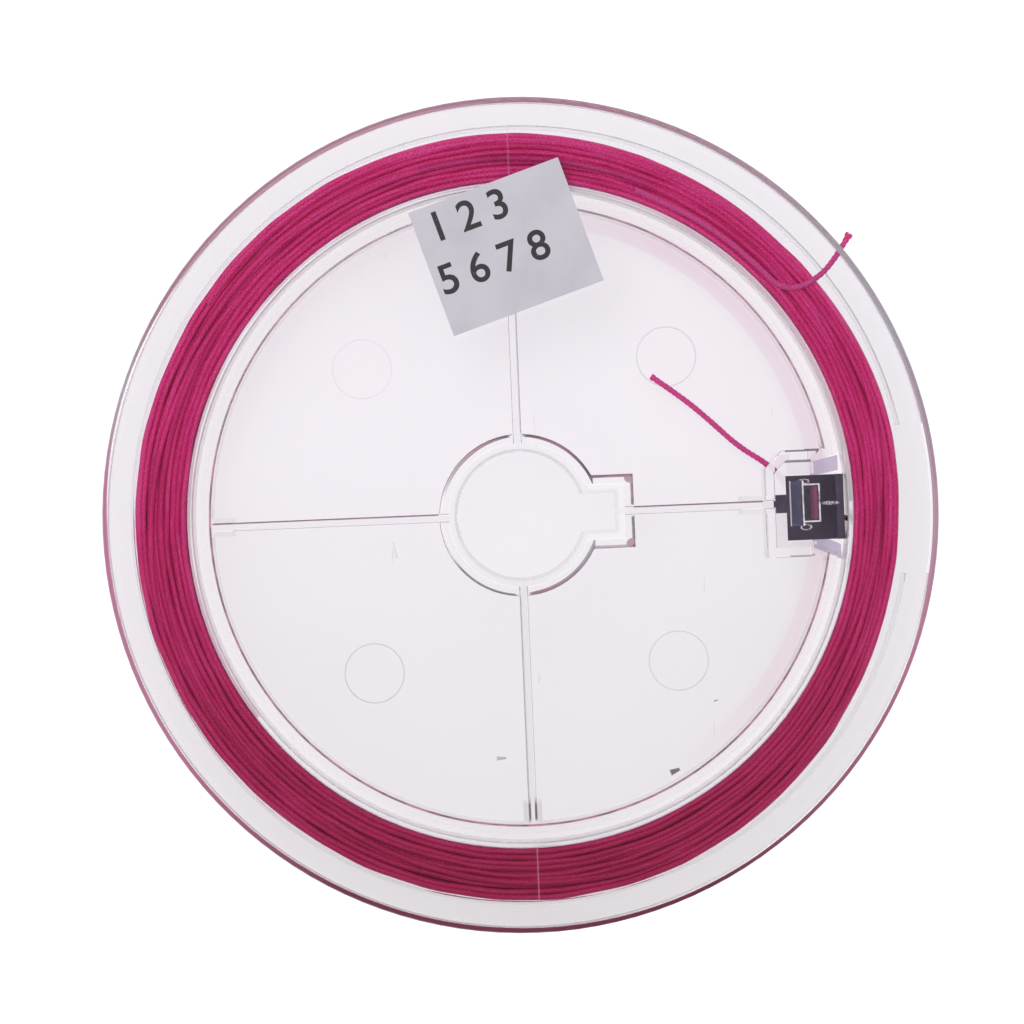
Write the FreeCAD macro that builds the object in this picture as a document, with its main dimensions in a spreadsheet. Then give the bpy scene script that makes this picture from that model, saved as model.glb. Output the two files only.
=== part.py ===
import FreeCAD, Part
import math
import os
import re

import Sketcher
from FreeCAD import Placement, Rotation, Vector

# A clear fishing line spool, lying flat on its rear flange. Millimetres.
# Origin: centre of the rear flange's outer face. +Z: towards the front flange.
# +X: towards the latch pocket and the key slot of the hub.
SIZES = {
    # The two flanges and the walls between them
    "flange_radius": 50.0,
    "flange_thick": 1.3,
    "spool_width": 14.0,
    "rim_round": 0.25,
    "front_rim_round": 0.6,
    "edge_round": 0.2,
    "drum_radius": 39.9,
    "drum_wall": 0.7,
    "plug_wall": 1.1,
    "plug_gap": 1.1,
    "nest_gap": 0.1,
    "seat_gap": 0.2,
    "top_drop": 0.3,
    # A shallow thumb notch in the rear flange's edge, beside the pocket
    "notch_depth": 0.45,
    "notch_half_angle": 10.5,
    # The keyed hub: a tube on the rear half round a tube on the front half
    "hub_radius": 9.7,
    "hub_wall": 1.05,
    "key_reach": 13.6,
    "key_half": 4.4,
    "hub_round": 0.3,
    "bore_bevel": 0.4,
    # Ribs of the front half, and the low guides on the web that they stand between
    "rib_thick": 1.0,
    "rib_gap": 0.1,
    "guide_thick": 0.6,
    "guide_rise": 1.2,
    "gusset_length": 2.6,
    "gusset_thick": 2.2,
    "gusset_gap": 0.3,
    # Ejector marks on the web
    "ejector_radius": 3.6,
    "ejector_offset": 26.0,
    "ejector_depth": 0.15,
    # The pocket at the drum: walls of the rear half round walls of the front half
    "pocket_depth": 10.6,
    "pocket_half": 6.4,
    "pocket_wall": 1.1,
    "liner_wall": 1.3,
    "liner_north_wall": 1.7,
    "liner_south_wall": 0.6,
    "pocket_bevel": 2.2,
    "pocket_side_gap": 5.3,
    "flare_length": 4.7,
    "flare_lead": 0.5,
    "flare_rise": 2.2,
    "flare_north_step": 1.4,
    "flare_south_step": 0.4,
    "flare_inner_rise": 1.3,
    "foot_gap": 1.2,
    # The dark line keeper: a plate over the line's end loop and its peg, and an upright at the drum
    "keeper_gap": 0.15,
    "keeper_rise": 1.7,
    "keeper_plate": 1.0,
    "keeper_wall": 0.8,
    "keeper_tab_half": 1.1,
    "keeper_back_rise": 6.9,
    "keeper_back_thick": 0.9,
    "socket_floor": 0.4,
    # The latch: a springy tongue with a thumb ramp and a hollow rectangular head
    "latch_setback": 2.0,
    "latch_head_depth": 2.1,
    "latch_head_half": 2.3,
    "latch_head_rise": 3.0,
    "latch_head_wall": 0.35,
    "latch_blade_thick": 0.9,
    "latch_blade_half": 1.2,
    "latch_ramp_depth": 1.5,
    "latch_ramp_drop": 1.4,
    "latch_ramp_half": 2.7,
    "latch_drop": 1.0,
    "latch_gap": 0.3,
    "latch_foot_gap": 0.1,
    # The braided line, and the slot in the drum wall that its inner end goes through
    "line_width": 0.75,
    "line_slot": 1.2,
    "wound_depth": 5.4,
    "wound_gap": 0.05,
    "wound_side_gap": 0.2,
    "wound_front_gap": 1.1,
    "turn_pitch": 1.2,
    "turn_bend": 0.9,
    "turn_clear": 0.3,
    # The clear band round the line, open beside the pocket
    "band_gap": 0.3,
    "band_thick": 0.3,
    "band_width": 8.4,
    "band_open": 22.0,
    # The paper label on the front flange and the upper rib
    "label_length": 19.1,
    "label_height": 15.7,
    "label_thick": 0.1,
    "label_centre_x": -0.4,
    "label_centre_y": 32.1,
    "label_turn": 18.1,
}
TURNS = 6

# Both line ends, as points in the plane that they lie in
INNER_END = [(39.8, -1.9), (36.5, -2.3), (33.6, -2.1), (32.5, 0.3), (31.8, 2.9), (30.2, 4.85),
             (26.6, 7.2), (23.4, 10.4), (20.2, 13.3), (16.5, 16.05)]
OUTER_END = [(15.4, 38.3), (20.6, 35.7), (25.4, 32.5), (29.6, 28.6), (32.4, 25.6),
             (35.6, 26.1), (38.65, 28.5), (40.75, 32.0)]

doc = FreeCAD.newDocument("line_spool")
sheet = doc.addObject("Spreadsheet::Sheet", "Sizes")
for row, (name, size) in enumerate(SIZES.items(), 1):
    sheet.set(f"A{row}", name)
    sheet.set(f"B{row}", str(size))
    sheet.setAlias(f"B{row}", name)
doc.recompute()


def bound(text):
    """The expression with each size's name pointing at its cell."""
    return re.sub(r"[a-z_]+", lambda m: "Sizes." + m[0] if m[0] in SIZES else m[0], str(text))


def value(text):
    """The number that an expression gives now."""
    answer = sheet.evalExpression(bound(text))
    return float(getattr(answer, "Value", answer))


def negative(text):
    return f"-({text})"


# Heights that more than one piece reads
WEB_TOP = "flange_thick"
FRONT_FLANGE = "spool_width - flange_thick"
RIB_FOOT = "flange_thick + seat_gap"
TUBE_TOP = "spool_width - top_drop"

# Radii and reaches that more than one piece reads
DRUM_INNER = "drum_radius - drum_wall"
PLUG_RADIUS = DRUM_INNER + " - plug_gap"
PLUG_INNER = PLUG_RADIUS + " - plug_wall"
HUB_INNER = "hub_radius - hub_wall"
KEY_INNER = "key_reach - hub_wall"
KEY_HALF_INNER = "key_half - hub_wall"
SLEEVE_RADIUS = HUB_INNER + " - nest_gap"
SLEEVE_REACH = KEY_INNER + " - nest_gap"
SLEEVE_HALF = KEY_HALF_INNER + " - nest_gap"
BORE_RADIUS = SLEEVE_RADIUS + " - hub_wall"
POCKET_REACH = "(drum_radius - pocket_depth)"
LINER_REACH = POCKET_REACH + " + pocket_wall + nest_gap"
LINER_HALF = "pocket_half - pocket_wall - nest_gap"
LINER_INNER = LINER_REACH + " + liner_wall"
SIDE_END = "drum_radius - pocket_side_gap"
FLARE_START = "drum_radius - flare_length"
LATCH_NEAR = f"({LINER_INNER} + latch_setback)"
ROOM_BEVEL = "(pocket_bevel - (2 - sqrt(2)) * pocket_wall)"
LINER_BEVEL = "(pocket_bevel - (2 - sqrt(2)) * (pocket_wall + nest_gap))"
LINER_NORTH = f"({LINER_HALF} - liner_north_wall)"
LINER_SOUTH = f"({LINER_HALF} - liner_south_wall)"
WOUND_RADIUS = "drum_radius + wound_gap + wound_depth"
WOUND_TOP = FRONT_FLANGE + " - wound_front_gap"
LINE_LEVEL = "flange_thick + 0.5 * line_width"


def new_body(label):
    body = doc.addObject("PartDesign::Body", label)
    body.Label = label
    return body


def plane_of(body, role):
    return next(item for item in body.Origin.OriginFeatures if item.Role == role)


def new_sketch(body, name, height="0", role="XY_Plane"):
    """A sketch on one of the body's own planes, raised along the plane's normal."""
    sketch = body.newObject("Sketcher::SketchObject", name)
    sketch.AttachmentSupport = (plane_of(body, role), [""])
    sketch.MapMode = "FlatFace"
    sketch.setExpression("AttachmentOffset.Base.z", bound(height))
    return sketch


def tie(sketch, kind, *where, size):
    """A dimension of the sketch that follows an expression."""
    index = sketch.addConstraint(Sketcher.Constraint(kind, *where, value(size)))
    sketch.setExpression(f"Constraints[{index}]", bound(size))


def outline(sketch, corners):
    """A closed outline of straight lines, each corner placed by two expressions."""
    places = [Vector(value(across), value(up), 0) for across, up in corners]
    first = sketch.GeometryCount
    count = len(places)
    for k in range(count):
        sketch.addGeometry(Part.LineSegment(places[k], places[(k + 1) % count]), False)
    for k in range(count):
        joined = first + (k + 1) % count
        sketch.addConstraint(Sketcher.Constraint("Coincident", first + k, 2, joined, 1))
    for k, (across, up) in enumerate(corners):
        tie(sketch, "DistanceX", -1, 1, first + k, 1, size=across)
        tie(sketch, "DistanceY", -1, 1, first + k, 1, size=up)


def rectangle(sketch, left, right, low, high):
    outline(sketch, [(left, low), (right, low), (right, high), (left, high)])


def round_topped(sketch, half, low, high, radius):
    """A rectangle, centred across, with both upper corners rounded."""
    inner, shoulder = f"{half} - {radius}", f"{high} - {radius}"
    ends = [(negative(half), low), (half, low), (half, shoulder), (inner, high),
            (negative(inner), high), (negative(half), shoulder)]
    places = [Vector(value(across), value(up), 0) for across, up in ends]
    size = value(radius)
    first = sketch.GeometryCount
    for k in range(6):
        if k in (2, 4):
            middle = Vector(math.copysign(value(inner), places[k].x), value(shoulder), 0)
            begin = 0.0 if k == 2 else 0.5 * math.pi
            ring = Part.Circle(middle, Vector(0, 0, 1), size)
            arc = sketch.addGeometry(Part.ArcOfCircle(ring, begin, begin + 0.5 * math.pi), False)
            tie(sketch, "Radius", arc, size=radius)
        else:
            sketch.addGeometry(Part.LineSegment(places[k], places[(k + 1) % 6]), False)
    for k, (across, up) in enumerate(ends):
        sketch.addConstraint(Sketcher.Constraint("Coincident", first + k, 2, first + (k + 1) % 6, 1))
        tie(sketch, "DistanceX", -1, 1, first + k, 1, size=across)
        tie(sketch, "DistanceY", -1, 1, first + k, 1, size=up)


def circle(sketch, radius, across="0", up="0"):
    middle = Vector(value(across), value(up), 0)
    index = sketch.addGeometry(Part.Circle(middle, Vector(0, 0, 1), value(radius)), False)
    tie(sketch, "Radius", index, size=radius)
    tie(sketch, "DistanceX", -1, 1, index, 3, size=across)
    tie(sketch, "DistanceY", -1, 1, index, 3, size=up)


def arm(direction, near, far, half):
    """Left, right, low and high of a strip from the centre towards east, north, west or south."""
    sides = {
        "east": (near, far, negative(half), half),
        "north": (negative(half), half, near, far),
        "west": (negative(far), negative(near), negative(half), half),
        "south": (negative(half), half, negative(far), negative(near)),
    }
    return sides[direction]


def pad(body, sketch, length):
    feature = body.newObject("PartDesign::Pad", sketch.Name + "_pad")
    feature.Profile = sketch
    feature.setExpression("Length", bound(length))
    doc.recompute()
    return feature


def pocket(body, sketch, length):
    """Cuts downwards from the sketch, and stops the build if it cuts nothing."""
    before = body.Shape.Volume
    feature = body.newObject("PartDesign::Pocket", sketch.Name + "_cut")
    feature.Profile = sketch
    feature.setExpression("Length", bound(length))
    doc.recompute()
    if body.Shape.Volume > before - 1e-3:
        raise RuntimeError(sketch.Name + " cuts nothing")
    return feature


def turned(body, sketch, kind="PartDesign::Revolution"):
    """Turns a profile in the XZ plane once round the spool's axis."""
    feature = body.newObject(kind, sketch.Name + "_turned")
    feature.Profile = sketch
    feature.ReferenceAxis = (sketch, ["V_Axis"])
    feature.Angle = 360.0
    doc.recompute()
    return feature


def rim_edges(shape, radius, level):
    """Names of the round edges of one radius at one height."""
    found = []
    for number, edge in enumerate(shape.Edges, 1):
        curve = edge.Curve
        if not isinstance(curve, Part.Circle):
            continue
        if abs(curve.Radius - radius) < 1e-4 and abs(curve.Center.z - level) < 1e-4:
            found.append(f"Edge{number}")
    return found


def level_edges(shape, level, beyond=-math.inf):
    """Names of the edges that lie at one height, and beyond a place along X."""
    found = []
    for number, edge in enumerate(shape.Edges, 1):
        box = edge.BoundBox
        flat = abs(box.ZMin - level) < 1e-4 and abs(box.ZMax - level) < 1e-4
        if flat and box.XMin > beyond + 1e-4:
            found.append(f"Edge{number}")
    return found


def fillet(body, base, names, size):
    feature = body.newObject("PartDesign::Fillet", base.Name + "_round")
    feature.Base = (base, names)
    feature.setExpression("Radius", bound(size))
    doc.recompute()
    return feature


def keyed_outline(body, name, height, length, radius, reach, half, make):
    """A round with a rectangular key towards +X, added or cut by the given function."""
    ring = new_sketch(body, name + "_round", height)
    circle(ring, radius)
    make(body, ring, length)
    key = new_sketch(body, name + "_key", height)
    rectangle(key, "0", reach, negative(half), half)
    make(body, key, length)


def pocket_corners(reach, half, side_end, bevel):
    """A box outline with a bevelled corner where the line's end passes."""
    return [(side_end, negative(half)), (side_end, half), (f"{reach} + {bevel}", half),
            (reach, f"{half} - {bevel}"), (reach, negative(half))]


def liner_corners(reach, half, far, bevel):
    """The front half's pocket outline, which flares to the drum."""
    wide = f"{half} + flare_rise"
    start = FLARE_START + " - flare_lead"
    _, _, *corners = pocket_corners(reach, half, far, bevel)
    return [(start, negative(half)), (far, negative(wide)), (far, wide), (start, half), *corners]


def room_corners(reach, north, south, far):
    """The room inside it, wider by a step on both sides where its flare begins."""
    wide_north, wide_south = f"{north} + flare_north_step", f"{south} + flare_south_step"
    return [(FLARE_START, negative(south)), (FLARE_START, negative(wide_south)),
            (far, negative(wide_south + " + flare_inner_rise")), (far, wide_north + " + flare_inner_rise"),
            (FLARE_START, wide_north), (FLARE_START, north), (reach, north), (reach, negative(south))]


# Rear half: flange and web in one disc, drum wall, hub tube, rib guides and pocket walls
def make_rear_half():
    body = new_body("rear_half")
    profile = new_sketch(body, "rear_profile", role="XZ_Plane")
    wall_top = FRONT_FLANGE + " - seat_gap"
    outline(profile, [
        ("0", "0"),
        ("flange_radius", "0"),
        ("flange_radius", WEB_TOP),
        ("drum_radius", WEB_TOP),
        ("drum_radius", wall_top),
        (DRUM_INNER, wall_top),
        (DRUM_INNER, WEB_TOP),
        ("0", WEB_TOP),
    ])
    disc = turned(body, profile)
    edges = rim_edges(disc.Shape, value("flange_radius"), 0)
    edges += rim_edges(disc.Shape, value("flange_radius"), value(WEB_TOP))
    rounded = fillet(body, disc, edges, "rim_round")
    edges = rim_edges(rounded.Shape, value("drum_radius"), value(wall_top))
    edges += rim_edges(rounded.Shape, value(DRUM_INNER), value(wall_top))
    fillet(body, rounded, edges, "edge_round")

    tube_rise = f"{TUBE_TOP} - {WEB_TOP}"
    keyed_outline(body, "hub_tube", WEB_TOP, tube_rise, "hub_radius", "key_reach", "key_half", pad)
    fillet(body, body.Tip, level_edges(body.Shape, value(TUBE_TOP)), "hub_round")
    keyed_outline(body, "hub_hole", TUBE_TOP, "spool_width", HUB_INNER, KEY_INNER, KEY_HALF_INNER,
                  pocket)

    walls = new_sketch(body, "pocket_walls", WEB_TOP)
    outline(walls, pocket_corners(POCKET_REACH, "pocket_half", SIDE_END, "pocket_bevel"))
    pad(body, walls, tube_rise)
    fillet(body, body.Tip, level_edges(body.Shape, value(TUBE_TOP), value("key_reach")), "edge_round")
    room = new_sketch(body, "pocket_room", TUBE_TOP)
    outline(room, pocket_corners(POCKET_REACH + " + pocket_wall", "(pocket_half - pocket_wall)",
                                 SIDE_END + " + 1", ROOM_BEVEL))
    pocket(body, room, tube_rise)

    guides = new_sketch(body, "rib_guides", WEB_TOP)
    inner = "0.5 * rib_thick + rib_gap"
    for direction in ("east", "north", "west", "south"):
        near = "key_reach - 0.2" if direction == "east" else "hub_radius - 0.2"
        far = POCKET_REACH if direction == "east" else PLUG_INNER
        far += " - gusset_length - 2 * gusset_gap"
        for side in (1, -1):
            low = inner if side > 0 else negative(f"{inner} + guide_thick")
            high = f"{inner} + guide_thick" if side > 0 else negative(inner)
            if direction == "east":
                rectangle(guides, near, far, low, high)
            elif direction == "west":
                rectangle(guides, negative(far), negative(near), low, high)
            elif direction == "north":
                rectangle(guides, low, high, near, far)
            else:
                rectangle(guides, low, high, negative(far), negative(near))
    pad(body, guides, "guide_rise")

    # Slots in the hub tube and the pocket's wall, which the ribs drop into
    slots = new_sketch(body, "rib_slots", TUBE_TOP)
    for direction in ("north", "west", "south"):
        rectangle(slots, *arm(direction, HUB_INNER + " - 1", "hub_radius + 1", inner))
    rectangle(slots, *arm("east", KEY_INNER + " - 0.5", "key_reach + 0.5", inner))
    rectangle(slots, *arm("east", POCKET_REACH + " - 0.5", POCKET_REACH + " + pocket_wall + 0.5", inner))
    pocket(body, slots, tube_rise)

    marks = new_sketch(body, "ejector_marks", WEB_TOP)
    reach = "ejector_offset * sin(45)"
    for across in (reach, negative(reach)):
        for up in (reach, negative(reach)):
            circle(marks, "ejector_radius", across, up)
    pocket(body, marks, "ejector_depth")

    # The line's inner end: a slot in the drum wall, and one through the pocket's bevelled corner
    slot_level = f"{WEB_TOP} + line_slot"
    slot = new_sketch(body, "drum_slot", slot_level)
    first, second = INNER_END[0], INNER_END[1]
    slope = (first[1] - second[1]) / (first[0] - second[0])
    sides = []
    for reach in (f"({DRUM_INNER} - 0.5)", "(drum_radius + 0.5)"):
        sides.append((reach, f"{first[1]} + {slope:.4f} * ({reach} - {first[0]})"))
    (near, near_up), (far, far_up) = sides
    half = "0.8 * line_slot"
    outline(slot, [(near, f"{near_up} - {half}"), (far, f"{far_up} - {half}"),
                   (far, f"{far_up} + {half}"), (near, f"{near_up} + {half}")])
    pocket(body, slot, "line_slot")
    corner = new_sketch(body, "corner_slot", slot_level)
    rectangle(corner, POCKET_REACH + " - pocket_wall", POCKET_REACH + " + pocket_wall + pocket_bevel",
              "pocket_half - pocket_bevel - line_slot", "pocket_half - 0.4 * line_slot")
    pocket(body, corner, "line_slot")

    notch = new_sketch(body, "thumb_notch", WEB_TOP)
    sector(notch, "flange_radius - notch_depth", "flange_radius + 2", "notch_half_angle")
    pocket(body, notch, "flange_thick")
    return body


def sector(sketch, inner, outer, half_angle):
    """Part of a ring, centred on +X."""
    turn = math.radians(value(half_angle))
    low, high = value(inner), value(outer)

    def at(radius, angle):
        return Vector(radius * math.cos(angle), radius * math.sin(angle), 0)

    axis = Vector(0, 0, 1)
    near = sketch.addGeometry(Part.ArcOfCircle(Part.Circle(Vector(), axis, low), -turn, turn), False)
    far = sketch.addGeometry(Part.ArcOfCircle(Part.Circle(Vector(), axis, high), -turn, turn), False)
    upper = sketch.addGeometry(Part.LineSegment(at(low, turn), at(high, turn)), False)
    lower = sketch.addGeometry(Part.LineSegment(at(low, -turn), at(high, -turn)), False)
    for arc, line_point in ((near, 1), (far, 2)):
        sketch.addConstraint(Sketcher.Constraint("Coincident", arc, 3, -1, 1))
        sketch.addConstraint(Sketcher.Constraint("Coincident", arc, 2, upper, line_point))
        sketch.addConstraint(Sketcher.Constraint("Coincident", arc, 1, lower, line_point))
    tie(sketch, "Radius", near, size=inner)
    tie(sketch, "Radius", far, size=outer)
    for line, sign in ((upper, 1), (lower, -1)):
        index = sketch.addConstraint(
            Sketcher.Constraint("Angle", -1, 1, line, 1, math.radians(sign * value(half_angle))))
        sketch.setExpression(f"Constraints[{index}]", bound(f"{sign} * {half_angle} * 1 deg"))


# Front half: flange ring, plug wall inside the drum wall, ribs, hub sleeve and pocket liner
def make_front_half():
    body = new_body("front_half")
    profile = new_sketch(body, "front_profile", role="XZ_Plane")
    outline(profile, [
        (PLUG_INNER, RIB_FOOT),
        (PLUG_RADIUS, RIB_FOOT),
        (PLUG_RADIUS, FRONT_FLANGE),
        ("flange_radius", FRONT_FLANGE),
        ("flange_radius", "spool_width"),
        (PLUG_INNER, "spool_width"),
    ])
    ring = turned(body, profile)
    edges = rim_edges(ring.Shape, value("flange_radius"), value(FRONT_FLANGE))
    edges += rim_edges(ring.Shape, value("flange_radius"), value("spool_width"))
    rounded = fillet(body, ring, edges, "front_rim_round")
    fillet(body, rounded, rim_edges(rounded.Shape, value(PLUG_INNER), value("spool_width")), "edge_round")

    liner_foot = f"{WEB_TOP} + foot_gap"
    liner = new_sketch(body, "liner_walls", liner_foot)
    outline(liner, liner_corners(LINER_REACH, f"({LINER_HALF})", PLUG_INNER + " + 0.5 * plug_wall",
                                 LINER_BEVEL))
    pad(body, liner, f"spool_width - ({liner_foot})")

    rib_rise = f"spool_width - ({RIB_FOOT})"
    sides = {
        "south": ("XZ_Plane", f"{SLEEVE_RADIUS} - 0.5 * hub_wall", f"{PLUG_INNER} + 0.5 * plug_wall"),
        "east": ("YZ_Plane", f"{SLEEVE_REACH} - 0.5 * hub_wall", f"{LINER_REACH} + 0.5 * liner_wall"),
    }
    sides["north"] = sides["south"]
    sides["west"] = ("YZ_Plane", *sides["south"][1:])
    for direction, (role, near, far) in sides.items():
        # A plane's normal points south or east, so the other two ribs are padded from their far end
        start = near if direction in ("south", "east") else negative(far)
        rib = new_sketch(body, "rib_" + direction, start, role)
        round_topped(rib, "0.5 * rib_thick", RIB_FOOT, "spool_width", "edge_round")
        pad(body, rib, f"{far} - ({near})")
    gussets = new_sketch(body, "gussets", RIB_FOOT)
    for direction in ("north", "west", "south"):
        rectangle(gussets, *arm(direction, f"{PLUG_INNER} - gusset_length",
                                f"{PLUG_INNER} + 0.5 * plug_wall", "0.5 * gusset_thick"))
    rectangle(gussets, *arm("east", POCKET_REACH + " - gusset_gap - gusset_length",
                            POCKET_REACH + " - gusset_gap", "0.5 * gusset_thick"))
    pad(body, gussets, rib_rise)

    keyed_outline(body, "sleeve", "seat_gap", "spool_width - seat_gap", SLEEVE_RADIUS, SLEEVE_REACH,
                  SLEEVE_HALF, pad)
    keyed_outline(body, "bore", "spool_width", "spool_width", BORE_RADIUS,
                  f"{SLEEVE_REACH} - hub_wall", f"({SLEEVE_HALF} - hub_wall)", pocket)

    room = new_sketch(body, "liner_room", "spool_width")
    outline(room, room_corners(LINER_INNER, LINER_NORTH, LINER_SOUTH, DRUM_INNER + " - nest_gap"))
    pocket(body, room, "spool_width")

    # The liner's foot is open where the keeper's tab lies in it
    tab_room = new_sketch(body, "tab_room", f"{WEB_TOP} + keeper_rise + keeper_plate + latch_gap")
    tab_half = "keeper_tab_half + keeper_gap"
    rectangle(tab_room, f"{LINER_REACH} - 0.05", f"{LINER_INNER} + 0.5", negative(tab_half), tab_half)
    pocket(body, tab_room, "spool_width")

    mouth = new_sketch(body, "bore_mouth", role="XZ_Plane")
    outline(mouth, [
        (BORE_RADIUS, "spool_width"),
        (f"{BORE_RADIUS} + bore_bevel", "spool_width"),
        (BORE_RADIUS, "spool_width - bore_bevel"),
    ])
    turned(body, mouth, "PartDesign::Groove")
    return body


# Dark keeper: two side walls and a peg on the web, a plate over the line's end loop, an upright at
# the drum, and a socket in the plate that the latch stands in
def make_line_keeper():
    body = new_body("line_keeper")
    north, south = f"({LINER_NORTH} - keeper_gap)", f"({LINER_SOUTH} - keeper_gap)"
    near = f"{LINER_INNER} + keeper_gap"
    far = f"sqrt(({DRUM_INNER}) * ({DRUM_INNER}) - {south} * {south}) - keeper_gap"
    plate_foot = f"{WEB_TOP} + keeper_rise"

    plate = new_sketch(body, "plate", plate_foot)
    rectangle(plate, near, far, negative(south), north)
    pad(body, plate, "keeper_plate")
    tab = new_sketch(body, "tab", plate_foot)
    rectangle(tab, f"{LINER_REACH}", f"{near} + 0.1", "-keeper_tab_half", "keeper_tab_half")
    pad(body, tab, "keeper_plate")
    sides = new_sketch(body, "side_walls", WEB_TOP)
    for low, high in ((f"{north} - keeper_wall", north), (negative(south), f"keeper_wall - {south}")):
        rectangle(sides, f"{near} + pocket_bevel", far, low, high)
    rectangle(sides, LATCH_NEAR, LATCH_NEAR + " + latch_blade_thick", "-latch_blade_half",
              "latch_blade_half")
    pad(body, sides, "keeper_rise + 0.5 * keeper_plate")
    back = new_sketch(body, "upright", plate_foot)
    rectangle(back, f"{far} - keeper_back_thick", far, negative(south), north)
    pad(body, back, "keeper_plate + keeper_back_rise")

    socket = new_sketch(body, "blade_socket", f"{plate_foot} + keeper_plate")
    side = "latch_blade_half + latch_gap"
    rectangle(socket, LATCH_NEAR + " - latch_gap", LATCH_NEAR + " + latch_blade_thick + latch_gap",
              negative(side), side)
    pocket(body, socket, "keeper_plate - socket_floor")
    return body


def pad_both_ways(body, sketch, half):
    """Pads a profile in the XZ plane by the same reach to either side."""
    feature = pad(body, sketch, f"2 * ({half})")
    feature.SideType = "Symmetric"
    doc.recompute()
    return feature


# Latch: a blade that springs from the keeper's socket, with a thumb ramp and a hollow head at its top
def make_latch_tongue():
    body = new_body("latch_tongue")
    foot = f"{WEB_TOP} + keeper_rise + socket_floor + latch_foot_gap"
    top = "spool_width - latch_drop"
    head_foot = f"{top} - latch_head_rise"
    blade = new_sketch(body, "blade", role="XZ_Plane")
    rectangle(blade, LATCH_NEAR, LATCH_NEAR + " + latch_blade_thick", foot,
              f"{head_foot} + 0.5 * latch_head_wall")
    pad_both_ways(body, blade, "latch_blade_half")
    head = new_sketch(body, "head", head_foot)
    rectangle(head, LATCH_NEAR, LATCH_NEAR + " + latch_head_depth", "-latch_head_half",
              "latch_head_half")
    pad(body, head, "latch_head_rise")
    ramp = new_sketch(body, "thumb_ramp", role="XZ_Plane")
    outline(ramp, [
        (LATCH_NEAR + " + 0.5 * latch_head_wall", top),
        (LATCH_NEAR, top),
        (LATCH_NEAR + " - latch_ramp_depth", f"{top} - latch_ramp_drop"),
        (LATCH_NEAR + " - latch_ramp_depth", f"{top} - latch_ramp_drop - latch_head_wall"),
        (LATCH_NEAR + " + 0.5 * latch_head_wall", f"{top} - 2 * latch_head_wall"),
    ])
    pad_both_ways(body, ramp, "latch_ramp_half")
    hollow = new_sketch(body, "head_hollow", top)
    inside = "latch_head_half - latch_head_wall"
    rectangle(hollow, LATCH_NEAR + " + latch_head_wall",
              LATCH_NEAR + " + latch_head_depth - latch_head_wall", negative(inside), inside)
    pocket(body, hollow, "latch_head_rise - latch_head_wall")
    return body


def tube(name, radius, rise, level):
    """A cylinder object on the spool's axis, bound to its sizes."""
    solid = doc.addObject("Part::Cylinder", name)
    solid.setExpression("Radius", bound(radius))
    solid.setExpression("Height", bound(rise))
    solid.setExpression("Placement.Base.z", bound(level))
    return solid


def ring_between(label, inner, outer, rise, level):
    """A plain ring round the spool's axis."""
    ring = doc.addObject("Part::Cut", label)
    ring.Label = label
    ring.Base = tube(label + "_outer", outer, rise, level)
    ring.Tool = tube(label + "_inner", inner, rise, level)
    doc.recompute()
    return ring


# The line on the drum, as one plain ring under its outer turns
def make_line_core():
    foot = f"{WEB_TOP} + wound_side_gap"
    return ring_between("line_core", "drum_radius + wound_gap", WOUND_RADIUS,
                        f"{WOUND_TOP} - ({foot})", foot)


# Clear band round the line, open beside the pocket
def make_retaining_band():
    inner = f"{WOUND_RADIUS} + line_width + band_gap"
    foot = f"{WEB_TOP} + 0.5 * ({FRONT_FLANGE} - {WEB_TOP} - wound_front_gap - band_width)"
    band = ring_between("retaining_band", inner, f"{inner} + band_thick", "band_width", foot)
    for solid in (band.Base, band.Tool):
        solid.setExpression("Angle", bound("360 - band_open"))
        solid.Placement.Rotation = Rotation(Vector(0, 0, 1), 0.5 * SIZES["band_open"])
    doc.recompute()
    return band


def make_paper_label():
    label = doc.addObject("Part::Box", "paper_label")
    label.Label = "paper_label"
    label.setExpression("Length", bound("label_length"))
    label.setExpression("Width", bound("label_height"))
    label.setExpression("Height", bound("label_thick"))
    across, up = 0.5 * value("label_length"), 0.5 * value("label_height")
    turn = Rotation(Vector(0, 0, 1), value("label_turn"))
    corner = turn.multVec(Vector(-across, -up, 0))
    middle = Vector(value("label_centre_x"), value("label_centre_y"), value("spool_width"))
    label.Placement = Placement(middle + corner, turn)
    doc.recompute()
    return label


def arc_through(start, tangent, end):
    """The arc that leaves start along the tangent and ends at end, and its radius."""
    chord = end - start
    along = Vector(chord).normalize()
    side = tangent - along * tangent.dot(along)
    half_turn = tangent.getAngle(along)
    if half_turn < 1e-6:
        return Part.LineSegment(start, end).toShape(), math.inf
    bulge = 0.5 * chord.Length * math.tan(0.5 * half_turn)
    middle = start + chord * 0.5 + side.normalize() * bulge
    radius = 0.5 * chord.Length / math.sin(half_turn)
    return Part.Arc(start, middle, end).toShape(), radius


def swept(path, start, tangent, diameter):
    """One closed tube of round section along a smooth path."""
    section = Part.Wire([Part.makeCircle(0.5 * diameter, start, tangent)])
    solid = path.makePipeShell([section], True, False)
    solid.fix(1e-5, 1e-5, 1e-4)
    return solid


def feature_of(label, shape):
    item = doc.addObject("Part::Feature", label)
    item.Label = label
    item.Shape = shape
    return item


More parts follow.
